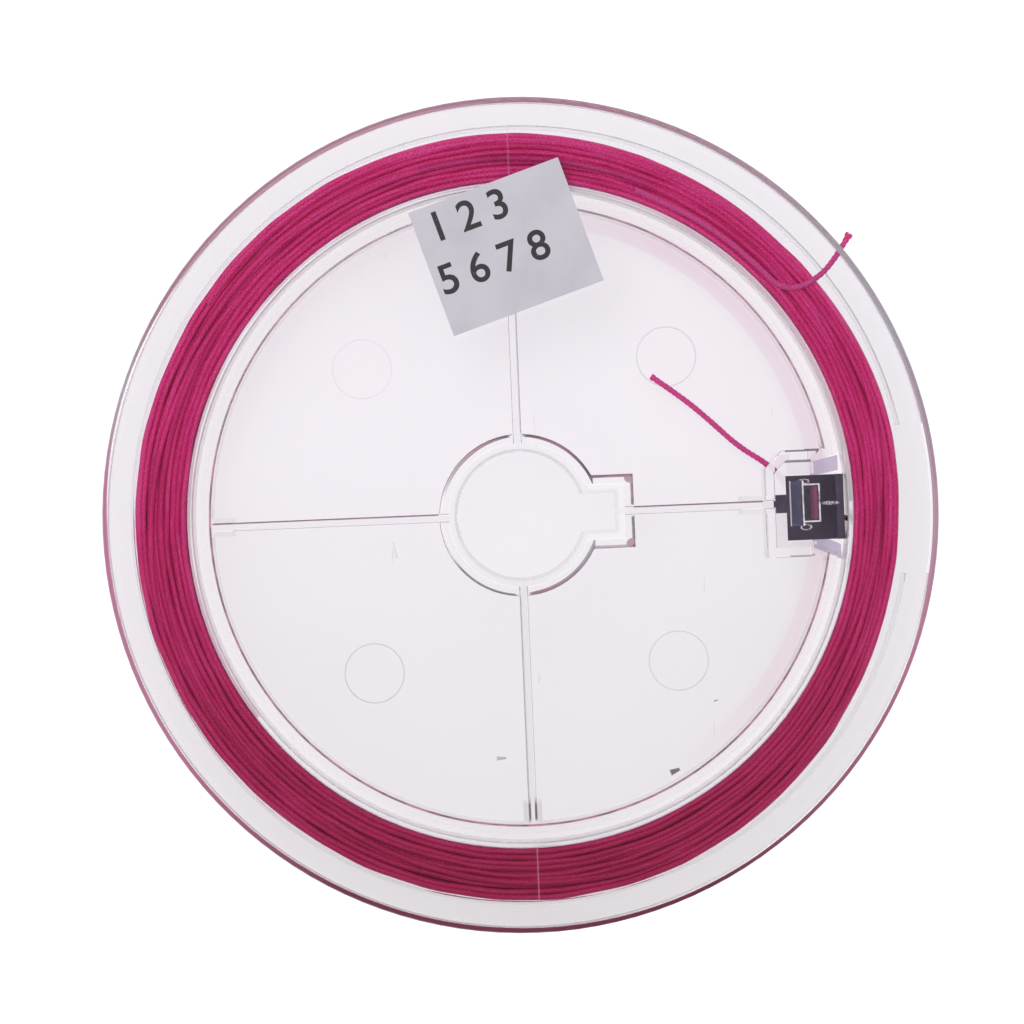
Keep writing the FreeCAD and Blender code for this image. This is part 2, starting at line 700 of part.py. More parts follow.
def make_line_end(label, route, level):
    """A line end that lies in one plane: straight runs joined by the largest tangent arcs."""
    points = [Vector(x, y, level) for x, y in route]
    edges, radii, here = [], [], points[0]
    for k in range(1, len(points) - 1):
        before, after = points[k] - points[k - 1], points[k + 1] - points[k]
        turn = before.getAngle(after)
        trim = 0.45 * min(before.Length, after.Length)
        radii.append(trim / math.tan(0.5 * turn))
        enter = points[k] - Vector(before).normalize() * trim
        leave = points[k] + Vector(after).normalize() * trim
        edges.append(Part.LineSegment(here, enter).toShape())
        arc, _ = arc_through(enter, Vector(before).normalize(), leave)
        edges.append(arc)
        here = leave
    edges.append(Part.LineSegment(here, points[-1]).toShape())
    path = Part.Wire(edges)
    width = value("line_width")
    solid = swept(path, points[0], points[1] - points[0], width)
    expected = math.pi * 0.25 * width * width * path.Length
    print(f"{label}: length {path.Length:.1f} mm, radii {[round(r, 1) for r in radii]}, "
          f"volume {solid.Volume:.2f} of {expected:.2f} mm3")
    return feature_of(label, solid)


# Outer turns of the line: one tube in a climbing helix, its ends square to the two flanges
def make_line_turns():
    width = value("line_width")
    radius = value(WOUND_RADIUS) + 0.5 * width + value("wound_gap")
    pitch, bend = value("turn_pitch"), value("turn_bend")
    low = value(WEB_TOP) + value("turn_clear") + width + bend
    climb = pitch / (2 * math.pi)

    def place(angle):
        return Vector(radius * math.cos(angle), radius * math.sin(angle), low + climb * angle)

    def heading(angle):
        return Vector(-radius * math.sin(angle), radius * math.cos(angle), climb).normalize()

    edges, tightest = [], math.inf
    first, last = place(0), place(2 * math.pi * TURNS)
    # The ends turn from the helix to the spool's axis over one bend
    start = first - heading(0) * bend - Vector(0, 0, bend)
    finish = last + heading(0) * bend + Vector(0, 0, bend)
    edges.append(Part.LineSegment(start - Vector(0, 0, width), start).toShape())
    arc, size = arc_through(start, Vector(0, 0, 1), first)
    edges.append(arc)
    tightest = min(tightest, size)
    here, toward = first, arc.tangentAt(arc.LastParameter)
    steps = 4 * TURNS
    for k in range(1, steps + 1):
        angle = 2 * math.pi * k / 4
        there, ahead = place(angle), heading(angle)
        both, gap = toward + ahead, there - here
        straight = 2 * (1 - toward.dot(ahead))
        reach = (-gap.dot(both) + math.sqrt(gap.dot(both) ** 2 + straight * gap.dot(gap))) / straight
        joint = (here + there + (toward - ahead) * reach) * 0.5
        for begin, end, tangent in ((here, joint, toward), (joint, there, None)):
            tangent = tangent or edges[-1].tangentAt(edges[-1].LastParameter)
            arc, size = arc_through(begin, tangent, end)
            edges.append(arc)
            tightest = min(tightest, size)
        here, toward = there, ahead
    arc, size = arc_through(last, toward, finish)
    edges.append(arc)
    tightest = min(tightest, size)
    edges.append(Part.LineSegment(finish, finish + Vector(0, 0, width)).toShape())

    path = Part.Wire(edges)
    solid = swept(path, start - Vector(0, 0, width), Vector(0, 0, 1), width)
    points = [(edge.valueAt(edge.FirstParameter + (edge.LastParameter - edge.FirstParameter) * n / 12),
               edge) for edge in edges for n in range(12)]
    walked, along = [0.0], 0.0
    for (a, _), (b, _) in zip(points, points[1:]):
        along += (b - a).Length
        walked.append(along)
    least = math.inf
    for i, (a, _) in enumerate(points):
        for j in range(i + 1, len(points)):
            if walked[j] - walked[i] > 0.25 * 2 * math.pi * radius:
                least = min(least, (points[j][0] - a).Length)
    expected = math.pi * 0.25 * width * width * path.Length
    print(f"line_turns: {TURNS} turns, {path.Length:.0f} mm, least gap to itself {least - width:.2f} mm, "
          f"tightest radius {tightest:.2f} mm, volume {solid.Volume:.1f} of {expected:.1f} mm3")
    return feature_of("line_turns", solid)


nodes = [
    make_rear_half(),
    make_front_half(),
    make_line_keeper(),
    make_latch_tongue(),
    make_line_core(),
    make_line_turns(),
    make_line_end("inner_tail", INNER_END, value(LINE_LEVEL)),
    make_line_end("outer_tail", OUTER_END, value(f"{WOUND_TOP} + wound_gap + 0.5 * line_width")),
    make_retaining_band(),
    make_paper_label(),
]
doc.recompute()
for item in doc.Objects:
    if "Invalid" in item.State or "Error" in item.State:
        raise RuntimeError(f"{item.Name} failed: {item.State}")
for node in nodes:
    if node.Shape.isNull() or not node.Shape.isValid() or node.Shape.Volume <= 0:
        raise RuntimeError(f"{node.Label} has no valid shape")

os.makedirs("parts", exist_ok=True)
for node in nodes:
    node.Shape.exportStep(f"parts/{node.Label}.step")
    box = node.Shape.BoundBox
    print(f"{node.Label}: {len(node.Shape.Solids)} solid, {node.Shape.Volume:.1f} mm3, "
          f"z {box.ZMin:.2f} to {box.ZMax:.2f}")
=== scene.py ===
"""A clear fishing line spool with its wound line, line ends, latch and label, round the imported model."""

import math
from functools import partialmethod

import bpy
import numpy as np
from mathutils import Matrix, Vector


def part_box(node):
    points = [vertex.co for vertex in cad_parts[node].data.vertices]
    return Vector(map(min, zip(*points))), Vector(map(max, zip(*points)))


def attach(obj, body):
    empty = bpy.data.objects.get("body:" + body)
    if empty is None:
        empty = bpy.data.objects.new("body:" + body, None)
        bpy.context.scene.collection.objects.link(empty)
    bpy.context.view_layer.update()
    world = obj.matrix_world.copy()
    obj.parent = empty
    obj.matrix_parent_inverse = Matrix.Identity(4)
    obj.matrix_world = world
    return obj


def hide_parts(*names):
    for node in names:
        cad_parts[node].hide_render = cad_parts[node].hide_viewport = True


bl_info = {
    "name": "Clear Line Spool",
    "version": (1, 0, 0),
    "blender": (4, 5, 0),
    "location": "View3D > Sidebar > Line Spool",
    "description": "Dresses a clear fishing line spool: plastic, wound braided line, latch and label",
    "category": "Object",
}

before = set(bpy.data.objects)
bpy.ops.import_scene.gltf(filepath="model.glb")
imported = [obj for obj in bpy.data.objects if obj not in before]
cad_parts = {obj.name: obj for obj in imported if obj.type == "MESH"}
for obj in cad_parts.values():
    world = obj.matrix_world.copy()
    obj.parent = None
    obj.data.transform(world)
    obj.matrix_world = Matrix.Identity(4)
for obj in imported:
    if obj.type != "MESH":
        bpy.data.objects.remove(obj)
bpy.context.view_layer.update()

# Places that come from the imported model, in metres
FRONT_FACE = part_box("front_half")[1].z
WOUND_LOW, WOUND_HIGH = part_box("line_core")[0].z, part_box("line_turns")[1].z
LABEL_PLACE = (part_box("paper_label")[0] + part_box("paper_label")[1]) / 2
LABEL_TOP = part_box("paper_label")[1].z
DRUM_RADIUS = 0.0399

# Heights at which the marks on upper faces begin and are full, and the web's upper face, in metres
FRONT_TOP = (0.0136, 0.0138)
REAR_TOP = (0.01338, 0.01344)
POCKET_TOP = (0.0122, 0.0125)
LATCH_TOP = (0.0112, 0.0114)
WEB_FACE = (0.0010, 0.00135)

# Across a rib: its two edge lines and its middle. Along the east rib: from the key slot to the pocket.
RIB_EDGE = (0.00030, 0.00052)
OTHER_EDGE = (-0.00052, -0.00030)
RIB_MIDDLE = (-0.00030, 0.00030)
EAST_RIB = (0.0136, 0.0290)

# On the web: how far the ejector marks lie from both middle lines, and its chips and flecks as
# (place, half length, half width, turn in degrees, colour, strength)
EJECTOR_PLACE = 0.0184
FLECKS = (((0.0174, -0.0317), 0.00058, 0.00027, 20.0, "edge_shade_and_fleck", 0.9),
          ((-0.0035, -0.0293), 0.00055, 0.00018, 0.0, "edge_grey", 0.7),
          ((0.0227, -0.0234), 0.00026, 0.00009, 10.0, "edge_shade_and_fleck", 0.6),
          ((-0.0153, -0.0036), 0.00100, 0.00005, 100.0, "edge_grey", 0.5),
          ((-0.0042, 0.0004), 0.00014, 0.00020, 0.0, "edge_shade_and_fleck", 0.6))

# The label's rows of numbers, each with its left end and foot from the label's middle, and how they are set
LABEL_ROWS = (("1 2 3", -0.0080, 0.0034), ("5 6 7 8", -0.0090, -0.0029))
LABEL_TURN = math.radians(18.1)
NUMBER_SIZE, NUMBER_WEIGHT, NUMBER_SPACING = 0.0051, 0.00006, 0.97
PRINT_LIFT = 0.00002

# The photograph: its width, the spool's centre in it, and what one millimetre of the near face measures
PHOTO_PIXELS = 1024
SPOOL_PIXEL = (520.5, 515.0)
PIXELS_PER_MM = 8.37

# Both line ends, in millimetres in the plane that each lies in, and the heights of those planes
INNER_END = [(39.8, -1.9), (36.5, -2.3), (33.6, -2.1), (32.5, 0.3), (31.8, 2.9), (30.2, 4.85),
             (26.6, 7.2), (23.4, 10.4), (20.2, 13.3), (16.5, 16.05)]
INNER_LEVEL = 1.675
INNER_LENGTH = 0.0315
OUTER_END = [(15.4, 38.3), (20.6, 35.7), (25.4, 32.5), (29.6, 28.6), (32.4, 25.6),
             (35.6, 26.1), (38.65, 28.5), (40.75, 32.0)]
OUTER_LEVEL = 12.025
OUTER_LENGTH = 0.0323

# How far the wound line reaches from the axis, as (angle in degrees, radius in millimetres)
WOUND_EDGE = [(0, 45.3), (13, 45.75), (30, 45.3), (45, 45.0), (60, 45.2), (88, 45.75), (128, 46.05),
              (153, 45.95), (192, 46.25), (238, 46.0), (268, 46.2), (298, 46.0), (335, 45.35)]
WOUND_ORDER = sorted(WOUND_EDGE, key=lambda place: (place[0] + 180) % 360)
FULL_TURN = 2 * math.pi


# Shader and geometry nodes as Python expressions
class Wire:
    """A node's output that Python's operators turn into Math nodes."""

    def __init__(self, graph, socket):
        self.graph, self.socket = graph, socket

    def math(self, operation, *others, clamp=False):
        return self.graph.math(operation, self, *others, clamp=clamp)

    def __rsub__(self, other):
        return self.graph.math("SUBTRACT", other, self)

    def __rtruediv__(self, other):
        return self.graph.math("DIVIDE", other, self)

    __add__ = __radd__ = partialmethod(math, "ADD")
    __sub__ = partialmethod(math, "SUBTRACT")
    __mul__ = __rmul__ = partialmethod(math, "MULTIPLY")
    __truediv__ = partialmethod(math, "DIVIDE")
    __abs__ = partialmethod(math, "ABSOLUTE")
    at_least = partialmethod(math, "MAXIMUM")
    at_most = partialmethod(math, "MINIMUM")

    def step(self, low, high):
        """0 at low, 1 at high, smooth between them."""
        inputs = {"Value": self, "From Min": low, "From Max": high}
        return self.graph.out("ShaderNodeMapRange", {"interpolation_type": "SMOOTHSTEP"}, inputs)

    def between(self, low, high, soft=0.00004):
        """1 from low to high, 0 outside."""
        return self.step(low - soft, low + soft) * self.step(high + soft, high - soft)


class Graph:
    """A node tree that makes each node from its type, its settings and what its sockets hold."""

    def __init__(self, tree):
        self.tree = tree

    def node(self, kind, settings=None, inputs=None):
        made = self.tree.nodes.new(kind)
        for name, value in (settings or {}).items():
            setattr(made, name, value)
        for key, value in (inputs or {}).items():
            socket = made.inputs[key]
            if isinstance(value, Wire):
                self.tree.links.new(value.socket, socket)
            else:
                opaque = socket.type == "RGBA" and len(value) == 3
                socket.default_value = (*value, 1.0) if opaque else value
        return made

    def out(self, kind, settings=None, inputs=None, output=0):
        """The wire of one output of a new node."""
        return Wire(self, self.node(kind, settings, inputs).outputs[output])

    def math(self, operation, *values, clamp=False):
        settings = {"operation": operation, "use_clamp": clamp}
        return self.out("ShaderNodeMath", settings, dict(enumerate(values)))

    def mix(self, factor, first, second, blend="MIX"):
        """One colour laid over another."""
        settings = {"data_type": "RGBA", "blend_type": blend}
        return self.out("ShaderNodeMix", settings, {0: factor, 6: first, 7: second}, 2)

    def mix_shader(self, factor, first, second):
        return self.out("ShaderNodeMixShader", {}, {0: factor, 1: first, 2: second})

    def ramp(self, value, stops):
        """A colour looked up between stops, each a place and a colour or a level of grey."""
        made = self.node("ShaderNodeValToRGB", {}, {0: value})
        elements = made.color_ramp.elements
        while len(elements) < len(stops):
            elements.new(1.0)
        for element, (place, colour) in zip(elements, stops):
            colour = (colour,) * 3 if isinstance(colour, float) else colour
            element.position, element.color = place, (*colour, 1.0)
        return Wire(self, made.outputs[0])

    def dial(self, x, y, stops):
        """A colour or strength looked up by the angle round the spool's axis, in degrees."""
        share = y.math("ARCTAN2", x) / FULL_TURN + 0.5
        return self.ramp(share, [((degrees + 180) / 360, level) for degrees, level in stops])

    def round_share(self, x, y):
        """How far round the spool's axis a place lies, as 0 to 1."""
        return self.dial(x, y, [(-180, 0.0), (180, 1.0)])

    def noise(self, where, scale, detail=2.0, roughness=0.5, distortion=0.0):
        inputs = {"Vector": where, "Scale": scale, "Detail": detail, "Roughness": roughness}
        return self.out("ShaderNodeTexNoise", {}, {**inputs, "Distortion": distortion})

    def stretched(self, where, scale, turn=0.0):
        """The same place measured with another scale on each axis, for drawn-out patterns."""
        inputs = {"Vector": where, "Scale": scale, "Rotation": (0.0, 0.0, turn)}
        return self.out("ShaderNodeMapping", {}, inputs)

    def vector(self, x, y):
        return self.out("ShaderNodeCombineXYZ", {}, {0: x, 1: y})

    def bump(self, height, strength, distance):
        inputs = {"Height": height, "Strength": strength, "Distance": distance}
        return self.out("ShaderNodeBump", {}, inputs)

    def where(self):
        """The place in the object's own coordinates."""
        return self.out("ShaderNodeTexCoord", output=3)

    def parts(self, vector):
        made = self.node("ShaderNodeSeparateXYZ", {}, {0: vector})
        return [Wire(self, made.outputs[k]) for k in range(3)]

    def skin(self, **sockets):
        """A Principled shader; underscores in the names stand for spaces."""
        inputs = {name.replace("_", " "): value for name, value in sockets.items()}
        return self.out("ShaderNodeBsdfPrincipled", {}, inputs)


def linear(red, green, blue):
    """A colour given as 0 to 255, the way a paint program shows it, as scene values."""
    def one(level):
        level /= 255
        return level / 12.92 if level <= 0.04045 else ((level + 0.055) / 1.055) ** 2.4
    return one(red), one(green), one(blue)


def new_surface(name):
    """An empty material and its graph."""
    material = bpy.data.materials.new(name)
    material.use_nodes = True
    material.node_tree.nodes.clear()
    return material, Graph(material.node_tree)


def finish_surface(graph, skin):
    """Ends a material in a shader."""
    graph.node("ShaderNodeOutputMaterial", {}, {"Surface": skin})


def lamps_through(graph, skin, finish):
    """Ends a material so that lamps and soft light reach what lies under the clear plastic."""
    path = graph.node("ShaderNodeLightPath")
    shadow, soft = (Wire(graph, path.outputs[name]) for name in ("Is Shadow Ray", "Is Diffuse Ray"))
    through = graph.out("ShaderNodeBsdfTransparent", {}, {"Color": finish.passed})
    finish_surface(graph, graph.mix_shader(shadow.at_least(soft), skin, through))


# Painted reflections, shade and highlights on the clear plastic
class Marks:
    """Coloured lines laid over each other, most of them painted reflections, shade and highlights, some real
    scratches and flecks: where they cover the plastic, and the colour that they show.
    """

    def __init__(self, graph, mask, colour):
        self.graph, self.covered, self.shown = graph, mask, colour

    def lay(self, mask, colour, strength=1.0):
        """Lays one more line or mark over the marks so far."""
        mask = mask * strength
        share = mask.math("DIVIDE", self.covered.at_least(mask) + 1e-4, clamp=True)
        self.covered = self.covered.at_least(mask)
        self.shown = self.graph.mix(share, self.shown, colour)


def length_of(x, y):
    """The distance from the axis of x and y."""
    return (x * x + y * y).math("SQRT")


def rim_marks(graph, finish, x, y, radius):
    """The front rim, painted in the colour that each side reflects: rose, mauve and grey reflections of the
    line and room, and painted shade on its dark south side; thinner on some sides and split beside the
    pocket.
    """
    colour = graph.dial(x, y, [
        (-180, finish.edge_rose), (-148, finish.edge_rose), (-118, finish.edge_dark), (-64, finish.edge_dark),
        (-22, finish.edge_rose), (25, finish.edge_grey), (80, finish.edge_mauve), (148, finish.edge_mauve),
        (160, finish.edge_grey), (174, finish.edge_rose), (180, finish.edge_rose)])
    thinner = graph.dial(x, y, [
        (-180, 0.35), (-150, 0.5), (-130, 0.4), (-96, 0.25), (-80, 0.4), (-60, 0.75), (-22, 0.6), (-11, 0.1),
        (24, 0.0), (84, 0.2), (100, 0.0), (135, 0.0), (157, 1.0), (168, 0.9), (180, 0.35)])
    split = radius.between(0.04958, 0.04984) * graph.dial(x, y, [
        (-12, 0.0), (-4, 1.0), (14, 1.0), (28, 0.5), (70, 0.45), (88, 0.0)])
    return Marks(graph, (radius - thinner * 0.0003).step(0.04926, 0.04933) * (1.0 - split), colour)


def front_marks(graph, finish, x, y, z):
    """Where the front half's edges show painted reflections of the line, painted shade and painted
    highlights: its rim, drum edge, ribs and sleeve.
    """
    radius = length_of(x, y)
    top = z.step(*FRONT_TOP)
    streaks = graph.noise(graph.round_share(x, y), 46.0, 2.0, 0.6)
    marks = rim_marks(graph, finish, x, y, radius)

    # The drum's inner edge: a painted reflection of the line, brown and rose, open at the pocket's mouth
    mouth = x.step(0.030, 0.031) * y.between(-0.0060, 0.0064)
    strength = graph.dial(x, y, [
        (-180, 0.9), (-90, 0.95), (-20, 0.8), (20, 0.75), (60, 0.8), (100, 0.6), (180, 0.9)])
    ring = radius.between(0.03698, 0.03723) * top * (1.0 - mouth)
    marks.lay(ring * strength, graph.mix(streaks.step(0.4, 0.6), finish.edge_brown, finish.edge_rose))

    # Each rib shows one dark edge of painted shade and one pale edge of painted highlight
    inside = radius.between(0.0098, 0.0368) * top
    west_east = x.step(0.0, -0.001) + x.between(*EAST_RIB)
    south, north = y.step(0.0, -0.001), y.step(0.0, 0.001)
    grey = x.between(*OTHER_EDGE) * south + x.between(*RIB_EDGE) * north
    pale = y.between(*OTHER_EDGE) * west_east + x.between(*RIB_EDGE) * south
    marks.lay(y.between(*RIB_EDGE) * west_east * inside, finish.edge_brown, 0.85)
    marks.lay(grey * inside, finish.edge_grey, 0.55)
    marks.lay(pale * inside, finish.edge_pale, 0.6)
    # A pale painted highlight fills each rib between its edges and rings the sleeve
    body = y.between(*RIB_MIDDLE) * x.step(0.0292, 0.0288) + x.between(*RIB_MIDDLE)
    body = body * radius.between(0.0085, 0.0368) + radius.between(0.0074, 0.0086)
    marks.lay((body * top).at_most(1.0), finish.edge_clear, 0.6)

    # The pocket's liner: a pale painted highlight on the corner over the line's end, and a dark line of
    # painted shade along the north side
    corner = x.between(0.0303, 0.0320) * y.between(0.0012, 0.0064) * z.step(*POCKET_TOP)
    marks.lay(corner, finish.edge_clear, 0.85)
    marks.lay(x.between(0.0316, 0.0349) * y.between(0.00490, 0.00522) * top, finish.edge_shade_and_fleck, 0.8)

    # Two dark lines of painted shade at the foot of the south rib
    foot = x.between(-0.00046, -0.00022) + x.between(0.00026, 0.00052)
    foot = foot * y.step(-0.0368, -0.0362) * y.step(-0.0334, -0.0350) * top
    marks.lay(foot, finish.edge_shade_and_fleck, 0.95)

    # Faint pale pink hairlines beside the north and south ribs, over the wound line
    hairline = x.between(0.00024, 0.00040) * radius.between(0.0398, 0.0462) * top
    marks.lay(hairline * streaks.step(0.3, 0.6), finish.edge_hairline, 0.35)
    return marks


def hub_marks(graph, finish, x, y, radius, top, marks):
    """The hub tube's outline, which gets broad and faint by turns, and the key slot's outline and posts, all
    painted lines of shade and reflection.
    """
    broad = graph.dial(x, y, [
        (-180, 0.0), (-95, 0.0), (-80, 0.8), (-35, 0.9), (20, 0.3), (60, 0.5), (95, 0.3), (130, 1.0),
        (160, 0.7), (180, 0.0)])
    shaft = (radius + broad * 0.00022).between(0.00942, 0.00997) * radius.step(0.00978, 0.00972)
    strength = graph.dial(x, y, [
        (-180, 0.0), (-152, 0.1), (-140, 0.75), (-97, 0.8), (-94, 0.0), (-87, 0.0), (-84, 0.95), (-28, 1.0),
        (84, 1.0), (87, 0.0), (94, 0.0), (97, 1.0), (150, 0.8), (168, 0.0)])
    outline = graph.dial(x, y, [
        (-180, finish.edge_grey), (-140, finish.edge_shade_and_fleck), (-97, finish.edge_shade_and_fleck), (-84, finish.edge_mauve),
        (-30, finish.edge_grey), (30, finish.edge_shade_and_fleck), (60, finish.edge_mauve), (84, finish.edge_shade_and_fleck),
        (97, finish.edge_shade_and_fleck), (125, finish.edge_mauve), (165, finish.edge_grey)])
    marks.lay(shaft * x.step(0.0089, 0.0087) * top * strength, outline)

    streaks = graph.noise(graph.round_share(x, y), 30.0, 2.0, 0.6)
    key_side = abs(y).between(0.00405, 0.00445) * x.between(0.0086, 0.0137)
    key_end = x.between(0.01325, 0.01365) * abs(y).between(0.0007, 0.0044)
    key = key_side * (y.step(-0.001, 0.001) + y.step(0.001, -0.001) * 0.6) + key_end * 0.85
    key_colour = graph.mix(streaks.step(0.4, 0.6), finish.edge_mauve, finish.edge_shade_and_fleck)
    marks.lay((key * top).at_most(1.0), key_colour)
    post = length_of(x - 0.0132, abs(y) - 0.0040).step(0.00075, 0.00060) * top
    marks.lay(post, finish.edge_mauve, 0.8)


def web_marks(graph, finish, x, y, z, radius, marks):
    """The web's ejector circles, outlined with painted grey edge shade that shows more on some sides,
    hair-thin handling scratches, chips and flecks.
    """
    web = z.between(*WEB_FACE)
    ejector = length_of(abs(x) - EJECTOR_PLACE, abs(y) - EJECTOR_PLACE).between(0.00350, 0.00364) * web
    seen = graph.dial(x, y, [
        (-180, 0.3), (-135, 0.45), (-90, 0.3), (-45, 0.35), (0, 0.3), (45, 0.35), (90, 0.2), (135, 0.16),
        (180, 0.3)])
    marks.lay(ejector * seen, finish.edge_grey)

    scratch = 0.0
    for turn, thin in ((0.75, 700.0), (-0.5, 620.0)):
        turned = graph.stretched(graph.where(), (thin, 55.0, 20.0), turn)
        scratch = graph.noise(turned, 1.0, 1.0, 0.3, 0.8).step(0.80, 0.82) + scratch
    marks.lay(scratch.at_most(1.0) * web * radius.step(0.036, 0.035), finish.edge_grey, 0.2)

    for (left, low), long, wide, turn, colour, strength in FLECKS:
        cos, sin = math.cos(math.radians(turn)), math.sin(math.radians(turn))
        along, across = (x - left) * cos + (y - low) * sin, (y - low) * cos - (x - left) * sin
        # A chip narrows towards one end, like a splinter
        taper = 1.0 - along * 0.35 / long
        spot = (abs(along) / long).at_least(abs(across) / (taper * wide))
        upper = z.step(0.0010, 0.0012) * z.step(0.0016, 0.0014)
        marks.lay(spot.step(1.15, 0.85) * upper, getattr(finish, colour), strength)


def rear_marks(graph, finish, x, y, z):
    """Where the rear half's edges and web show painted lines of shade, reflection and highlight: the rim, the
    hub tube, the pocket, the drum wall and the moulding marks; the web also gets real scratches and flecks.
    """
    radius = length_of(x, y)
    top, web = z.step(*REAR_TOP), z.between(*WEB_FACE)
    # The rear rim: a painted rose and pale reflection, fainter on the south-east side
    rim = radius.step(0.04970, 0.04976) * graph.dial(x, y, [
        (-180, 0.5), (-80, 0.5), (-60, 0.12), (-20, 0.12), (-8, 0.5), (180, 0.5)])
    marks = Marks(graph, rim, graph.mix(0.5, finish.edge_rose, finish.edge_pale))
    hub_marks(graph, finish, x, y, radius, top, marks)

    # The pocket's outer walls show dark lines of painted shade along the north side, and fainter ones along
    # the south side
    wall = x.between(0.0319, 0.0346) * y.between(0.00618, 0.00645) * top
    wall = wall + x.between(0.0346, 0.0364) * y.between(0.00626, 0.00653) * web
    wall = wall + x.between(0.0320, 0.0354) * y.between(-0.00640, -0.00618) * (top + web) * 0.6
    marks.lay(wall.at_most(1.0), finish.edge_shade_and_fleck, 0.85)
    # A pale painted highlight on the pocket's corner over the line's end, and a faint grey painted edge line
    # beside it
    corner = x.between(0.0292, 0.0306) * y.between(0.0012, 0.0064) * z.step(*POCKET_TOP)
    marks.lay(corner, finish.edge_clear, 0.85)
    marks.lay(x.between(0.0292, 0.0295) * abs(y).between(0.0010, 0.0064) * top, finish.edge_grey, 0.35)

    # The drum wall shows a pale painted highlight against the line that it carries
    marks.lay(radius.between(0.0390, 0.0400) * z.between(0.0018, 0.0130, 0.0004), finish.edge_pale, 0.5)
    web_marks(graph, finish, x, y, z, radius, marks)
    return marks


def latch_marks(graph, finish, x, y, z):
    """The latch's edges with pale painted highlights, its ramp painted slate where the dark keeper shows
    through it, and a painted reflection of the line in its hollow.
    """
    away, raised = abs(y), z.step(*LATCH_TOP)
    streaks = graph.noise(graph.where(), 900.0, 2.0, 0.6)
    # The ramp is painted slate where the dark keeper shows through it
    slate = graph.mix(streaks.step(0.3, 0.8), finish.edge_slate, finish.keeper_worn)
    marks = Marks(graph, x.between(0.0322, 0.0337) * raised * 0.6, slate)
    # Painted reflection of the line in the latch's hollow
    glow = x.step(0.0345, 0.0359) * z.between(0.0102, 0.0106) * away.step(0.00198, 0.0019)
    marks.lay(glow, finish.edge_line_reflection, 0.85)
    head = z.step(0.01285, 0.01292) * x.step(0.03372, 0.0338)
    edge = away.step(0.00207, 0.00217) + x.step(0.03565, 0.03577) + x.step(0.03400, 0.03388)
    edge = edge.at_most(1.0) * head * streaks.step(0.25, 0.6) + x.step(0.03248, 0.03240) * raised * 0.8
    marks.lay(edge.at_most(1.0), finish.edge_pale, 0.75)
    return marks


# Materials
def clear_plastic(name, finish, seed, marks_of, tint_of=None):
    """Clear moulded plastic with faint flow lines. Its edges carry painted reflections, shade and highlights,
    and lamps shine through it.
    """
    material, graph = new_surface(name)
    where = graph.where()
    x, y, z = graph.parts(where)
    flow = graph.noise(graph.stretched(where, (60, 60, 20)), 1.0 + seed, 2.0, 0.4, 0.6)
    clear = graph.skin(
        Base_Color=tint_of(graph, finish, x, y) if tint_of else finish.tint, Roughness=finish.roughness,
        IOR=finish.ior, Transmission_Weight=1.0, Normal=graph.bump(flow, 0.12, 0.00002))
    marks = marks_of(graph, finish, x, y, z)
    # Where the marks cover it, the plastic shows their painted colours of reflection, shade and highlight
    edge = graph.skin(Base_Color=marks.shown, Roughness=0.3, IOR=finish.ior)
    lamps_through(graph, graph.mix_shader(marks.covered, clear, edge), finish)
    return material


def rear_tint(graph, finish, x, y):
    """The web is a little greyer than the flange and darker towards the south with painted shade, pink beside
    the drum with a painted reflection of the line, and lavender in the pocket's mouth with painted shade.
    """
    radius = length_of(x, y)
    inside = radius.step(0.0385, 0.0365)
    # Painted reflection of the line on the web beside the drum
    painted_line_reflection = radius.step(0.0350, 0.0354) * 0.55 + radius.step(0.0335, 0.0366) * 0.45
    painted_line_reflection = painted_line_reflection * inside * graph.dial(x, y, [
        (-60, 0.0), (-35, 0.7), (20, 0.8), (60, 1.0), (85, 0.1), (150, 0.12), (180, 0.0)])
    # Painted shade: the web is darker towards the south
    web = graph.mix(y.step(0.01, -0.02), finish.web_tint, finish.web_south)
    flange = graph.mix(radius.step(0.0400, 0.0394), finish.tint, finish.gap_tint)
    web = graph.mix(painted_line_reflection * 0.7, graph.mix(inside, flange, web), finish.pink_tint)
    # Painted lavender shade in the pocket's mouth
    reach = x - 0.0352
    pocket_mouth_shade = (y - reach * 0.19).between(0.0032, 0.0050) + (y + reach * 0.45).between(-0.0054, -0.0036)
    return graph.mix(pocket_mouth_shade * x.between(0.0352, 0.0386) * 0.85, web, finish.edge_lavender)


def front_tint(graph, finish, x, y):
    """The flange is a little greyer towards the south with painted shade, and clearest over the gap beside
    the plug ring.
    """
    south = graph.dial(x, y, [(-180, 0.1), (-90, 1.0), (-20, 0.1), (90, 0.0), (180, 0.1)])
    flange = graph.mix(south, finish.front_tint, finish.south_tint)
    gap = length_of(x, y).step(0.0400, 0.0394) * (1.0 - south * 0.6)
    return graph.mix(gap, flange, finish.gap_tint)


